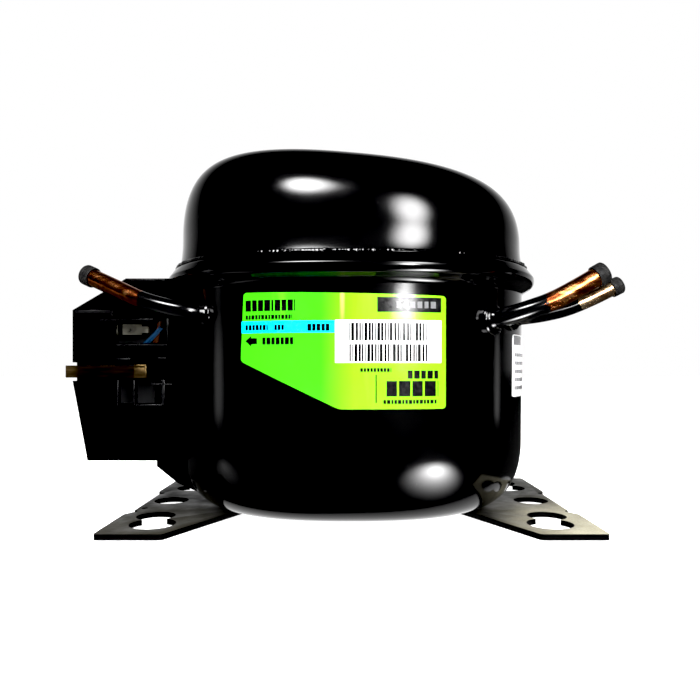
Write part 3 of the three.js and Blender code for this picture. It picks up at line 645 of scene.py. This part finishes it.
def metal(name, colour, rough=0.35, grain_size=0.8, stretch=None, relief=0.02):
    """Bare metal with a grain that may run one way."""
    look = Look(name, colour, rough, metal=1.0)
    darker = tuple(c * 0.62 for c in colour)
    fine = look.grain(grain_size, 5, stretch)
    wide = look.grain(11, 4)
    tone = look.ramp(look.math("MULTIPLY", look.math("ADD", fine, wide), 0.5), (0.35, darker), (0.6, colour))
    look.drive("Base Color", tone)
    look.drive("Roughness", look.ramp(fine, (0.3, rough - 0.08), (0.75, rough + 0.14)))
    look.bump(fine, relief, 0.4)
    return look.material


def spring_strap():
    """Tarnished bronze-coloured spring steel, lighter at both ends."""
    look = Look("clip_steel", (0.05, 0.03, 0.01), 0.34, metal=1.0)
    streaks = look.grain(1.2, 5, (0.15, 1, 1))
    tarnish = look.ramp(streaks, (0.3, (0.018, 0.011, 0.004)), (0.7, (0.042, 0.026, 0.009)))
    bright = look.ramp(streaks, (0.3, (0.12, 0.075, 0.028)), (0.7, (0.26, 0.17, 0.07)))
    # The colour is lighter at the strap's left end and at its tab.
    lighter_ends = look.ramp(look.along("X", -127, -90), (0.05, 0.9), (0.16, 0.0), (0.82, 0.0), (0.84, 1.0))
    look.drive("Base Color", look.blend(lighter_ends, tarnish, bright))
    look.drive("Roughness", look.ramp(streaks, (0.3, 0.3), (0.75, 0.46)))
    look.bump(streaks, 0.02, 0.4)
    return look.material


def cast_iron():
    look = Look("cast_iron", (0.13, 0.13, 0.14), 0.62, metal=0.7)
    tone = look.ramp(look.grain(3, 6), (0.3, (0.075, 0.075, 0.08)), (0.7, (0.19, 0.19, 0.2)))
    look.drive("Base Color", tone)
    look.drive("Roughness", look.ramp(look.grain(1.5, 4), (0.3, 0.5), (0.7, 0.78)))
    look.bump(look.grain(0.9, 5), 0.18, 0.6)
    return look.material


def laminations():
    """Stacked sheet steel: fine lines round the edge of every sheet."""
    look = Look("laminations", (0.3, 0.31, 0.33), 0.4, metal=0.9)
    sheets = look.bands(0.65)
    look.drive("Base Color", look.ramp(sheets, (0.1, (0.06, 0.06, 0.065)), (0.5, (0.36, 0.37, 0.4))))
    look.drive("Roughness", look.ramp(look.grain(2, 4), (0.3, 0.32), (0.7, 0.55)))
    look.bump(sheets, 0.12, 0.6)
    return look.material


def winding_copper():
    """Enamelled wire wound in a bundle."""
    look = Look("winding_wire", (0.42, 0.13, 0.045), 0.3, metal=0.8)
    strands = look.bands(0.7, "DIAGONAL", 1.5)
    look.drive("Base Color", look.ramp(strands, (0.15, (0.14, 0.035, 0.012)), (0.6, (0.58, 0.2, 0.07))))
    look.drive("Roughness", look.ramp(look.grain(1.5, 4), (0.3, 0.22), (0.7, 0.4)))
    look.bump(strands, 0.25, 0.8)
    return look.material


paint = gloss_paint()
LOOKS = {
    "shell_paint": paint,
    "foot_paint": foot_paint(),
    "tube_copper": tube_copper("copper", (0.24, 0.045, 0.013), (0.62, 0.17, 0.05), (0.98, 0.44, 0.16)),
    "cap_rubber": cap_rubber(),
    "green_label": label_film("green_label", (0.036, 0.5, 0.005), (0.17, 0.56, 0.007)),
    "white_label": print_ink("white_label", (0.86, 0.86, 0.85)),
    "cover_plastic": moulded("box_plastic", (0.0001, 0.0001, 0.0001), 0.26, 0.5, 0.02),
    "clip_steel": spring_strap(),
    "starter_plastic": moulded("starter_plastic", (0.012, 0.012, 0.013), 0.45),
    "zinc_steel": metal("zinc_steel", (0.78, 0.75, 0.62), 0.34, 3),
    "blue_wire": moulded("blue_insulation", (0.006, 0.03, 0.075), 0.35, 0.8),
    "brown_wire": moulded("brown_insulation", (0.06, 0.018, 0.006), 0.35, 0.8),
    "grey_iron": cast_iron(),
    "machined_steel": metal("machined_steel", (0.6, 0.61, 0.63), 0.24, 0.6, (1, 1, 6)),
    "rotor_aluminium": laminations(),
    "rod_aluminium": metal("die_cast_aluminium", (0.6, 0.61, 0.62), 0.42, 1.6, None, 0.08),
    "gasket_fibre": print_ink("gasket_fibre", (0.035, 0.045, 0.035), 0.7),
    "muffler_plastic": moulded("natural_polymer", (0.62, 0.56, 0.42), 0.4),
    "core_steel": laminations(),
    "winding_copper": winding_copper(),
    "spring_steel": metal("spring_steel", (0.34, 0.35, 0.37), 0.28, 0.7),
}
INK = print_ink("black_ink", (0.0012, 0.0012, 0.0014), 0.15)
CYAN = print_ink("cyan_ink", (0.0, 0.5, 0.72))
GREY = print_ink("grey_ink", (0.12, 0.12, 0.125))
RUBBED_PLASTIC = moulded("rubbed_plastic", (0.0015, 0.0015, 0.0018), 0.3, 0.5, 0.4)
PALE_COPPER = tube_copper("pale_copper", (0.42, 0.2, 0.09), (0.85, 0.52, 0.27), (0.98, 0.78, 0.5))


# ---- housing ------------------------------------------------------------------------


def cup_outline(inset):
    """Outer face of the cup, `inset` inside it, from the axis to the flange."""
    bowl = (BOWL_RIM - inset, BASE + 4 + inset)
    corner = (HALF_WIDTH - 0.4 - inset, CORNER_TOP)
    flare = (HALF_WIDTH - inset, FLARE_START + inset)
    ledge = (FLANGE_HALF - 2 - inset, FLANGE_BOTTOM - 2)
    points = [(0, BASE + inset)]
    points += bend(points[-1], (BOWL_RIM / 2, BASE + inset), bowl)
    points += bend(bowl, (HALF_WIDTH - 1.5 - inset, BASE + 7 + inset), corner, 20)
    points += line(corner, flare)
    if inset == 0:
        points += bend(flare, (HALF_WIDTH, FLANGE_BOTTOM - 4), ledge)
        points += bend(ledge, (FLANGE_HALF, FLANGE_BOTTOM - 1), (FLANGE_HALF, FLANGE_BOTTOM + 1), 6)
    return points


def cover_outline(inset):
    """Outer face of the cover, from its skirt to the axis."""
    half = COVER_HALF - inset
    waist = COVER_WAIST - inset
    rise = COVER_RISE - inset
    shoulder = (waist, SEAM + 0.29 * rise)
    brow = (0.731 * waist, SEAM + 0.994 * rise)
    points = [(half, COVER_SKIRT)]
    points += line(points[0], (half, SEAM), 3)
    points += bend(points[-1], (waist, SEAM + 0.12 * rise), shoulder, 10)
    points += bend(shoulder, (waist, SEAM + 0.896 * rise), brow, 28)
    points += bend(brow, (0.6 * waist, SEAM + rise), (0, SEAM + rise), 16)
    return points


def flange_edge():
    """The pressed flange, whose upper edge is rolled in towards the weld."""
    side = (FLANGE_HALF, SEAM - 4.8)
    shoulder = (FLANGE_HALF - 0.4, SEAM - 3.6)
    return [
        side,
        *bend(side, (FLANGE_HALF, SEAM - 4.1), shoulder, 6),
        *line(shoulder, (FLANGE_HALF - 3, SEAM), 4),
    ]


def tube_hole(name):
    """The hole that a connecting tube needs in the wall of the cup."""
    radius, points = TUBES[name][0] + 0.3, TUBES[name][4]
    return sweep(catmull_rom(points[:4], 8), [(0, 0), (0, radius), (0.5, radius), (1, radius), (1, 0)])


def spring_peg(side, end):
    """A stepped peg pressed into the bowl."""
    profile = [
        (0, 5.1), (7, 5.1), (7, 12), (6.6, 12.4), (4.8, 12.4), (4.6, 12.6), (4.6, 20), (3.4, 21.4), (0, 21.4),
    ]
    return lathe(profile, (PUMP_X + side * PEG_AT, end * PEG_AT, 0), (0, 0, 1))


def lower_shell():
    """The pressed cup with its flange, its four holes and the pegs that carry the springs."""
    rim = COVER_HALF + 0.3
    outside = [*cup_outline(0), *flange_edge(), (rim, SEAM), (rim, COVER_SKIRT - 0.3)]
    inside = cup_outline(WALL)[::-1]
    profile = [(0, -16), (TERMINAL_RADIUS + 0.3, -16), (TERMINAL_RADIUS + 0.3, 16), (0, 16)]
    terminal_hole = lathe(profile, (-HALF_WIDTH, 0, TERMINAL_Z), (1, 0, 0), 64)
    cup = drilled(turned([*outside, *inside], 256), terminal_hole, *map(tube_hole, TUBES))
    pegs = [spring_peg(side, end) for side in (-1, 1) for end in (-1, 1)]
    add_piece("cup", joined(cup, *pegs), paint, "housing", ["lower_shell"], smooth=60)


def top_cover():
    """The drawn cover, open below: its inner face from the axis out, then its outer face back."""
    outline = [*cover_outline(WALL)[::-1], *cover_outline(0)]
    mesh = turned(outline, 256, COVER_TILT)
    return add_piece("cover", mesh, paint, "housing", ["top_cover"], smooth=60)


def weld_bead():
    """The weld that closes the housing, with the overlapping scales that welding leaves."""
    inner = COVER_HALF + 0.3
    low = SEAM + 0.3
    outer = FLANGE_HALF - 3
    crown = bend((outer, low), (outer + 0.2, low + 1.5), (inner, low + 1.5), 7)
    outline = [(inner, low), (outer, low), *crown]

    def scales(angle, station):
        if station < 2:
            return 0
        place = Vector((math.cos(angle), math.sin(angle), 0))
        wander = noise.noise(place * 9)
        spatter = max(0, noise.noise(place * 60) - 0.15)
        uneven = 0.5 + noise.noise(place * 21)
        return 0.26 * uneven * abs(math.sin(angle * 165 + 9 * wander)) - 0.3 + 0.12 * wander + 0.5 * spatter

    mesh = turned(outline, 1440, loop=True, ripple=scales)
    return add_piece("weld", mesh, paint, "housing", ["weld_bead"], smooth=60)


def foot_plate(side, punched):
    """One foot, mirrored to its side, with round holes and notches punched through."""
    outline = rounded([(side * x, y) for x, y in FOOT_OUTLINE], 1.6)
    holes = []
    for x, y, radius in punched:
        profile = [(0, -1), (radius, -1), (radius, FOOT_THICKNESS + 1), (0, FOOT_THICKNESS + 1)]
        holes.append(lathe(profile, (side * x, y, 0), (0, 0, 1), 56))
    form = bmesh.new()
    form.from_mesh(drilled(extruded(outline, FOOT_THICKNESS), *holes))
    return softened(form, 0.25)


def feet():
    for side, name in ((-1, "left_foot"), (1, "right_foot")):
        key_hole = [FOOT_KEY_HOLE] if side < 0 else []
        plate = foot_plate(side, FOOT_HOLES + FOOT_NOTCHES + key_hole)
        low, high = sorted([side * 56, side * 66])
        pad = bevelled_box((low, -9, 1), (high, 9, 4.2), 0.6)
        body = joined(plate, pad)
        piece = name.replace("foot", "base_plate")
        add_piece(piece, body, LOOKS["foot_paint"], "housing", [name])


# ---- tubes --------------------------------------------------------------------------


def tube_pieces(name):
    radius, bore, collar_radius, paint_end, points = TUBES[name]
    path = catmull_rom(points, 12)
    stations = [i / 80 for i in range(81)]
    outer = [(s, radius) for s in stations[:-1]] + [(0.997, radius), (1, radius - 0.25)]
    inner = [(1, bore), *((s, bore) for s in stations[-2::-1])]
    mesh = sweep(path, outer + inner, loop=True)
    reach = mesh.attributes.new("reach", "FLOAT", "POINT")
    along = (path[-1] - path[0]).normalized()
    length = (path[-1] - path[0]).dot(along)
    for vertex, value in zip(mesh.vertices, reach.data):
        value.value = (vertex.co - path[0]).dot(along) / length - paint_end
    look = PALE_COPPER if name == "discharge" else LOOKS["tube_copper"]
    add_piece(f"{name}_pipe", mesh, look, "housing", [f"{name}_tube"])

    start, exit_point = Vector(points[0]), Vector(points[1])
    direction = (exit_point - start).normalized()
    profile = [(radius + 0.05, -2.4), (collar_radius + 0.6, -2.4), (collar_radius + 0.6, 1.4)]
    profile += bend(profile[-1], (collar_radius + 0.6, 2.6), (collar_radius - 0.4, 3.2), 5)
    profile += bend(profile[-1], (radius + 0.6, 3.8), (radius + 0.05, 5.2), 5)
    sleeve = lathe(profile, exit_point, direction)
    add_piece(f"{name}_braze", sleeve, paint, "housing", [f"{name}_collar"])

    end, direction = path[-1], (path[-1] - path[-2]).normalized()
    hold = radius + 0.3
    outside = hold + CAP_WALL
    tip = CAP_LENGTH - CAP_OVERLAP
    profile = [(0, 0.3), (hold, 0.3), (hold, -CAP_OVERLAP), (outside - 0.3, -CAP_OVERLAP)]
    profile += bend(profile[-1], (outside, -CAP_OVERLAP), (outside, 0.3 - CAP_OVERLAP), 3)
    profile += [(outside, -0.6), (outside - 0.12, -0.3), (outside, 0)]
    profile += bend((outside, tip - 1), (outside, tip), (outside - 1, tip), 5)
    profile += [(outside - 2, tip - 0.1), (outside - 2.4, tip - 0.5), (0, tip - 0.5)]
    plug = lathe(profile, end, direction)
    add_piece(f"{name}_plug", plug, LOOKS["cap_rubber"], f"{name}_cap_body", [f"{name}_cap"])


# ---- labels -------------------------------------------------------------------------

LABEL_BASE = (0.08, 0.3)  # where the film starts and ends, outside the wall
PRINT = (0.28, 0.36)
PRINT_ON_PRINT = (0.34, 0.42)


def strokes(x0, x1, z0, z1, widths, space):
    """A row of plain blocks that stands for a line of print, its widths taken in turn."""
    blocks = []
    x = x0
    i = 0
    while x < x1:
        width = min(widths[i % len(widths)], x1 - x)
        blocks.append(rectangle(x, z0, x + width, z1))
        x += width + space
        i += 1
    return blocks


def bar_code(x0, x1, z0, z1, phase):
    """Upright bars of uneven width, in no particular code."""
    bars = []
    x = x0
    i = phase
    while x < x1 - 0.2:
        width = 0.42 + 0.26 * (i * 7 % 4)
        bars.append(rectangle(x, z0, min(x + width, x1), z1))
        x += width + 0.3 + 0.14 * (i * 5 % 3)
        i += 1
    return bars


def name_label():
    outline = rounded([(-43, 99.3), (-44.3, 72), (-5, 53.3), (37.3, 53.3), (37.3, 97.8)], 1.6)
    film = wall_slab([outline], front_wall, *LABEL_BASE)
    green = LOOKS["green_label"]
    add_piece("label_film", film, green, "housing", ["name_label"])

    def printed(name, outlines, look, lift=PRINT):
        mesh = wall_slab(outlines, front_wall, *lift)
        add_piece(name, mesh, look, "housing")

    printed("label_strip", [rectangle(-43.9, 83.2, -6.4, 87.9)], CYAN)
    printed("label_white", [rectangle(-6.4, 71.4, 35.4, 88.1)], LOOKS["white_label"])
    marks = [
        rectangle(10, 91.2, 35.4, 97),
        rectangle(9.3, 55.8, 9.8, 66.7),
        *strokes(-42.2, -22, 91.8, 96.2, (2.3, 1.9, 2.1, 2.4, 0.8), 0.5),
        *strokes(-42.2, -23.2, 88.6, 90.3, (1, 0.8, 1.2), 0.35),
        *strokes(3.4, 15.5, 67.9, 69.3, (1, 0.9), 0.35),
        *strokes(22, 34.2, 65.2, 68.4, (1.9, 2.2), 0.6),
        *strokes(13.6, 34.2, 58.3, 64.3, (4.1, 4.5), 0.8),
        *strokes(12.4, 33.9, 55.4, 56.9, (1, 1.3, 0.8), 0.4),
        *strokes(-35.2, -22.3, 78.6, 81.4, (1.3, 1.6), 0.4),
        [(-42.3, 80), (-39.8, 77.8), (-39.8, 82.2)],
        rectangle(-40, 78.8, -37.4, 81.2),
    ]
    printed("label_marks", marks, INK)
    fine = [
        *strokes(-42.2, -33, 84.3, 86.4, (1, 1.2), 0.35),
        *strokes(-30.3, -25.9, 84.3, 86.4, (1, 1.1), 0.35),
        *strokes(-17.2, -8.6, 83.9, 86.6, (1.5, 1.3), 0.4),
        *bar_code(-0.9, 29.8, 80, 87, 0),
        *bar_code(-0.9, 29.8, 71.9, 78.7, 3),
    ]
    printed("label_codes", fine, INK, PRINT_ON_PRINT)
    printed("label_sheen", strokes(17.5, 34, 92.8, 95.4, (1.9, 1.6, 2.1), 0.9), GREY, PRINT_ON_PRINT)


def side_label():
    outline = rounded(rectangle(-49, 57, -7, 84), 1.2)
    film = wall_slab([outline], side_wall, *LABEL_BASE)
    add_piece("side_film", film, LOOKS["white_label"], "housing", ["side_label"])
    lines = [rectangle(-48.6, 79.5, -38, 83.6)]
    for row in range(5):
        z = 60 + row * 3.6
        lines += strokes(-47.4, -12 - row * 3, z, z + 1.6, (1.1, 0.8, 1.4), 0.5)
    marks = wall_slab(lines, side_wall, *PRINT)
    add_piece("side_marks", marks, GREY, "housing")


# ---- terminal box -------------------------------------------------------------------


def box_front_details():
    """Ribs, ledges and window frames that stand a little proud of the box's front face."""
    front, proud = BOX_FRONT, BOX_FRONT - 0.7
    bars = [
        ((-100, 108.3), (-83, 109.2)),  # lip of the top
        ((-123, 93.9), (-106.6, 95.3)),  # upper rib, with a tick at its end
        ((-107.2, 92.4), (-106.2, 95.3)),
        ((-112, 90.6), (-88, 91.4)),  # ledge above the upper window
        ((-82.2, 80.4), (-81.4, 91.4)),  # frame of the upper window
        ((-104.6, 79.4), (-82, 80.1)),
        ((-104.6, 73.2), (-98.4, 73.9)),  # guides of the strap
        ((-87, 73.6), (-82.6, 74.3)),
        ((-104.2, 53), (-103.6, 64)),  # frames of the lower windows
        ((-96.9, 53), (-96.4, 64)),
        ((-84.4, 53), (-83, 64.2)),
        ((-90, 61.9), (-80, 62.5)),
        ((-95.9, 52.6), (-84, 53.3)),
    ]
    solids = [bevelled_box((x0, proud, z0), (x1, front + 0.2, z1), 0.18) for (x0, z0), (x1, z1) in bars]
    add_piece("box_ribs", joined(*solids), RUBBED_PLASTIC, "terminal_cover_body")


def strap_tab():
    """The strap's folded end, with raised side edges."""
    outer = BOX_FRONT - 0.3
    plate = bevelled_box((-95.9, outer - 1.9, 65.3), (-90.7, outer - 1, 70.7), 0.25)
    rims = [
        bevelled_box((-95.9, outer - 2.7, 70.2), (-90.7, outer - 1.4, 70.9), 0.2),
        bevelled_box((-91.2, outer - 2.7, 65.3), (-90.5, outer - 1.4, 70.9), 0.2),
    ]
    return joined(plate, *rims)


def terminal_box():
    """The plastic cover over the terminals, its raised front details and the strap around it."""
    plastic = LOOKS["cover_plastic"]
    shell = refined("terminal_cover", 0.5)
    box_front_details()
    add_piece("box_cover", shell, plastic, "terminal_cover_body", ["terminal_cover"], 40)
    strap = joined(refined("cover_clip", 0.25), strap_tab())
    add_piece("box_clip", strap, LOOKS["clip_steel"], "cover_clip_body", ["cover_clip"], 40)


# ---- what stays from the CAD model --------------------------------------------------


def dress_cad_nodes():
    """Each CAD node that is still shown gets the finish of its material slot and softened edges."""
    slots = {}
    for part in frame["record"]["subparts"]:
        for node in part.get("nodes", [part.get("node")]):
            slots[node] = part.get("material_slot") or part.get("material")
    for node, thing in frame["nodes"].items():
        if thing.hide_render:
            continue
        thing.data.materials.clear()
        thing.data.materials.append(LOOKS[slots[node]])
        soften = thing.modifiers.new("soft_edges", "BEVEL")
        soften.width = 0.15 * MM
        soften.segments = 2
        soften.limit_method = "ANGLE"
        soften.angle_limit = math.radians(35)


# ---- stage --------------------------------------------------------------------------


def add_floor():
    """Pale studio floor that is white to the eye and keeps a soft contact shadow; in reflections it is nearly
    black, with glowing pools painted on it as reflected highlights.
    """
    form = bmesh.new()
    bmesh.ops.create_grid(form, x_segments=2, y_segments=2, size=6)
    mesh = bpy.data.meshes.new("floor")
    form.to_mesh(mesh)
    form.free()
    floor = bpy.data.objects.new("floor", mesh)
    floor.location.z = -0.0003
    bpy.context.scene.collection.objects.link(floor)
    look = Look("studio_floor", (0.8, 0.8, 0.8), 0.9, shine=0.0)
    rays = look.node("ShaderNodeLightPath")
    tone = look.ramp(look.grain(300, 2), (0.3, 0.78), (0.7, 0.82))
    # Painted shade: seen in reflections the floor is nearly black, so what the paint mirrors below it stays
    # dark.
    look.drive("Base Color", look.blend(rays.outputs["Is Glossy Ray"], tone, 0.02))
    look.drive("Emission Color", (1, 1, 1, 1))
    away = look.node("ShaderNodeVectorMath", Vector=look.place)
    away.operation = "LENGTH"
    glow = look.node("ShaderNodeMapRange", Value=away.outputs["Value"], To_Min=0.97, To_Max=1.1)
    glow.inputs["From Min"].default_value = 0.1
    glow.inputs["From Max"].default_value = 0.34
    seen = look.math("MULTIPLY", rays.outputs["Is Camera Ray"], glow.outputs["Result"])
    # Painted reflections: glowing pools on the floor that only reflections see, each placed to put a
    # highlight on the paint.
    painted_reflection_pools = [  # centre, radii, turn, strength and how sharply it fades
        ((78, -126), (68, 36), -50, 75.0, 2.0),
        ((12, -8), (104, 59), 0, 1.9, 0.3),
        ((-134, -84), (70, 22), 10, 1.2, 1.6),
    ]
    bright = 0.0
    for centre, radii, turn, strength, fade in painted_reflection_pools:
        soft = look.math("POWER", look.pool(centre, radii, turn), fade)
        bright = look.math("ADD", bright, look.math("MULTIPLY", soft, strength))
    mirrored = look.math("MULTIPLY", rays.outputs["Is Glossy Ray"], bright)
    look.drive("Emission Strength", look.math("ADD", seen, mirrored))
    floor.data.materials.append(look.material)


def softbox(name, place, target, width, height, power):
    """A lamp at `place`, turned to face `target`, that fades towards its rim. Millimetres about the axis."""
    lamp = bpy.data.lights.new(name, "AREA")
    lamp.shape = "ELLIPSE"
    lamp.size = width * MM
    lamp.size_y = height * MM
    lamp.energy = power
    lamp.use_nodes = True
    tree = lamp.node_tree
    across = tree.nodes.new("ShaderNodeNewGeometry").outputs["Parametric"]
    centred = tree.nodes.new("ShaderNodeVectorMath")
    centred.operation = "DISTANCE"
    centred.inputs[1].default_value = (0.5, 0.5, 0)
    tree.links.new(across, centred.inputs[0])
    fade = tree.nodes.new("ShaderNodeMapRange")
    fade.interpolation_type = "SMOOTHSTEP"
    for socket, value in (("From Min", 0.08), ("From Max", 0.5), ("To Min", 1), ("To Max", 0)):
        fade.inputs[socket].default_value = value
    tree.links.new(centred.outputs["Value"], fade.inputs["Value"])
    tree.links.new(fade.outputs["Result"], tree.nodes["Emission"].inputs["Strength"])
    holder = bpy.data.objects.new(name, lamp)
    at = Vector(place) * MM
    toward = Vector(target) * MM - at
    holder.location = at
    holder.rotation_euler = toward.to_track_quat("-Z", "Y").to_euler()
    bpy.context.scene.collection.objects.link(holder)
    return holder


def lamp_place(target, azimuth, elevation, distance):
    """`distance` from the target, `azimuth` degrees to the right of the viewer's direction."""
    turn, lift = math.radians(azimuth), math.radians(elevation)
    level = distance * math.cos(lift)
    away = Vector((level * math.sin(turn), -level * math.cos(turn), distance * math.sin(lift)))
    return Vector(target) + away


def add_lights():
    """Lamps placed where the paint has to mirror them: azimuth, elevation and distance from a spot."""
    cover, shoulder, label = (-16, -74, 141), (30, -74, 125), (24, -76, 96)
    left, right = (-50, -64, 45), (62, -62, 40)
    softbox("key", lamp_place(cover, -18, 42, 1300), cover, 700, 560, 62)
    softbox("tall_strip", lamp_place(shoulder, 25, 22, 900), shoulder, 420, 600, 26)
    softbox("glint", lamp_place(label, 20, 7, 900), label, 230, 170, 9)
    softbox("left_strip", lamp_place(left, -80, 0, 600), left, 160, 260, 0.12)
    softbox("right_strip", lamp_place(right, 97, 0, 600), right, 120, 260, 0.1)
    fill = softbox("fill", (-400, -1400, 700), (0, 0, 90), 900, 900, 32)
    top = softbox("top", (0, -150, 1400), (0, 0, 0), 900, 900, 62)
    for lamp in (fill, top):
        lamp.visible_glossy = False


def add_world():
    """White backdrop. What the paint mirrors is bright behind the object, dark in front and above."""
    world = bpy.data.worlds.new("studio")
    bpy.context.scene.world = world
    world.use_nodes = True
    tree = world.node_tree
    output = tree.nodes["World Output"]
    backdrop = tree.nodes["Background"]
    backdrop.inputs["Color"].default_value = (1, 1, 1, 1)
    around = tree.nodes.new("ShaderNodeBackground")
    where = tree.nodes.new("ShaderNodeTexCoord").outputs["Generated"]
    toward_light = tree.nodes.new("ShaderNodeVectorMath")
    toward_light.operation = "DOT_PRODUCT"
    toward_light.inputs[1].default_value = (0, 1, -0.55)
    tree.links.new(where, toward_light.inputs[0])
    fade = tree.nodes.new("ShaderNodeMapRange")
    for socket, value in (("From Min", 0.2), ("From Max", 1.0), ("To Min", 0.004), ("To Max", 1.7)):
        fade.inputs[socket].default_value = value
    tree.links.new(toward_light.outputs["Value"], fade.inputs["Value"])
    tree.links.new(fade.outputs["Result"], around.inputs["Strength"])
    eye = tree.nodes.new("ShaderNodeLightPath")
    mix = tree.nodes.new("ShaderNodeMixShader")
    tree.links.new(eye.outputs["Is Camera Ray"], mix.inputs["Fac"])
    tree.links.new(around.outputs["Background"], mix.inputs[1])
    tree.links.new(backdrop.outputs["Background"], mix.inputs[2])
    tree.links.new(mix.outputs["Shader"], output.inputs["Surface"])


def add_camera():
    """Level view from the front, close to the object, with the frame raised a little."""
    lens = bpy.data.cameras.new("camera")
    lens.sensor_width = 36
    lens.lens = 33.48
    lens.shift_y = 20 / 700
    lens.clip_start = 0.01
    camera = bpy.data.objects.new("camera", lens)
    camera.location = ((AXIS_X - 0.6) * MM, -330 * MM, 68.6 * MM)
    camera.rotation_euler = (math.radians(90), 0, 0)
    bpy.context.scene.collection.objects.link(camera)
    bpy.context.scene.camera = camera


def develop():
    """Plain colour with the deep blacks of a product photograph."""
    settings = bpy.context.scene.view_settings
    settings.view_transform = "Standard"
    settings.use_curve_mapping = True
    settings.curve_mapping.black_level = (0.006, 0.006, 0.006)
    settings.curve_mapping.update()


add_camera()
add_world()
add_lights()
add_floor()
lower_shell()
top_cover()
weld_bead()
feet()
for tube in TUBES:
    tube_pieces(tube)
name_label()
side_label()
terminal_box()
dress_cad_nodes()
develop()
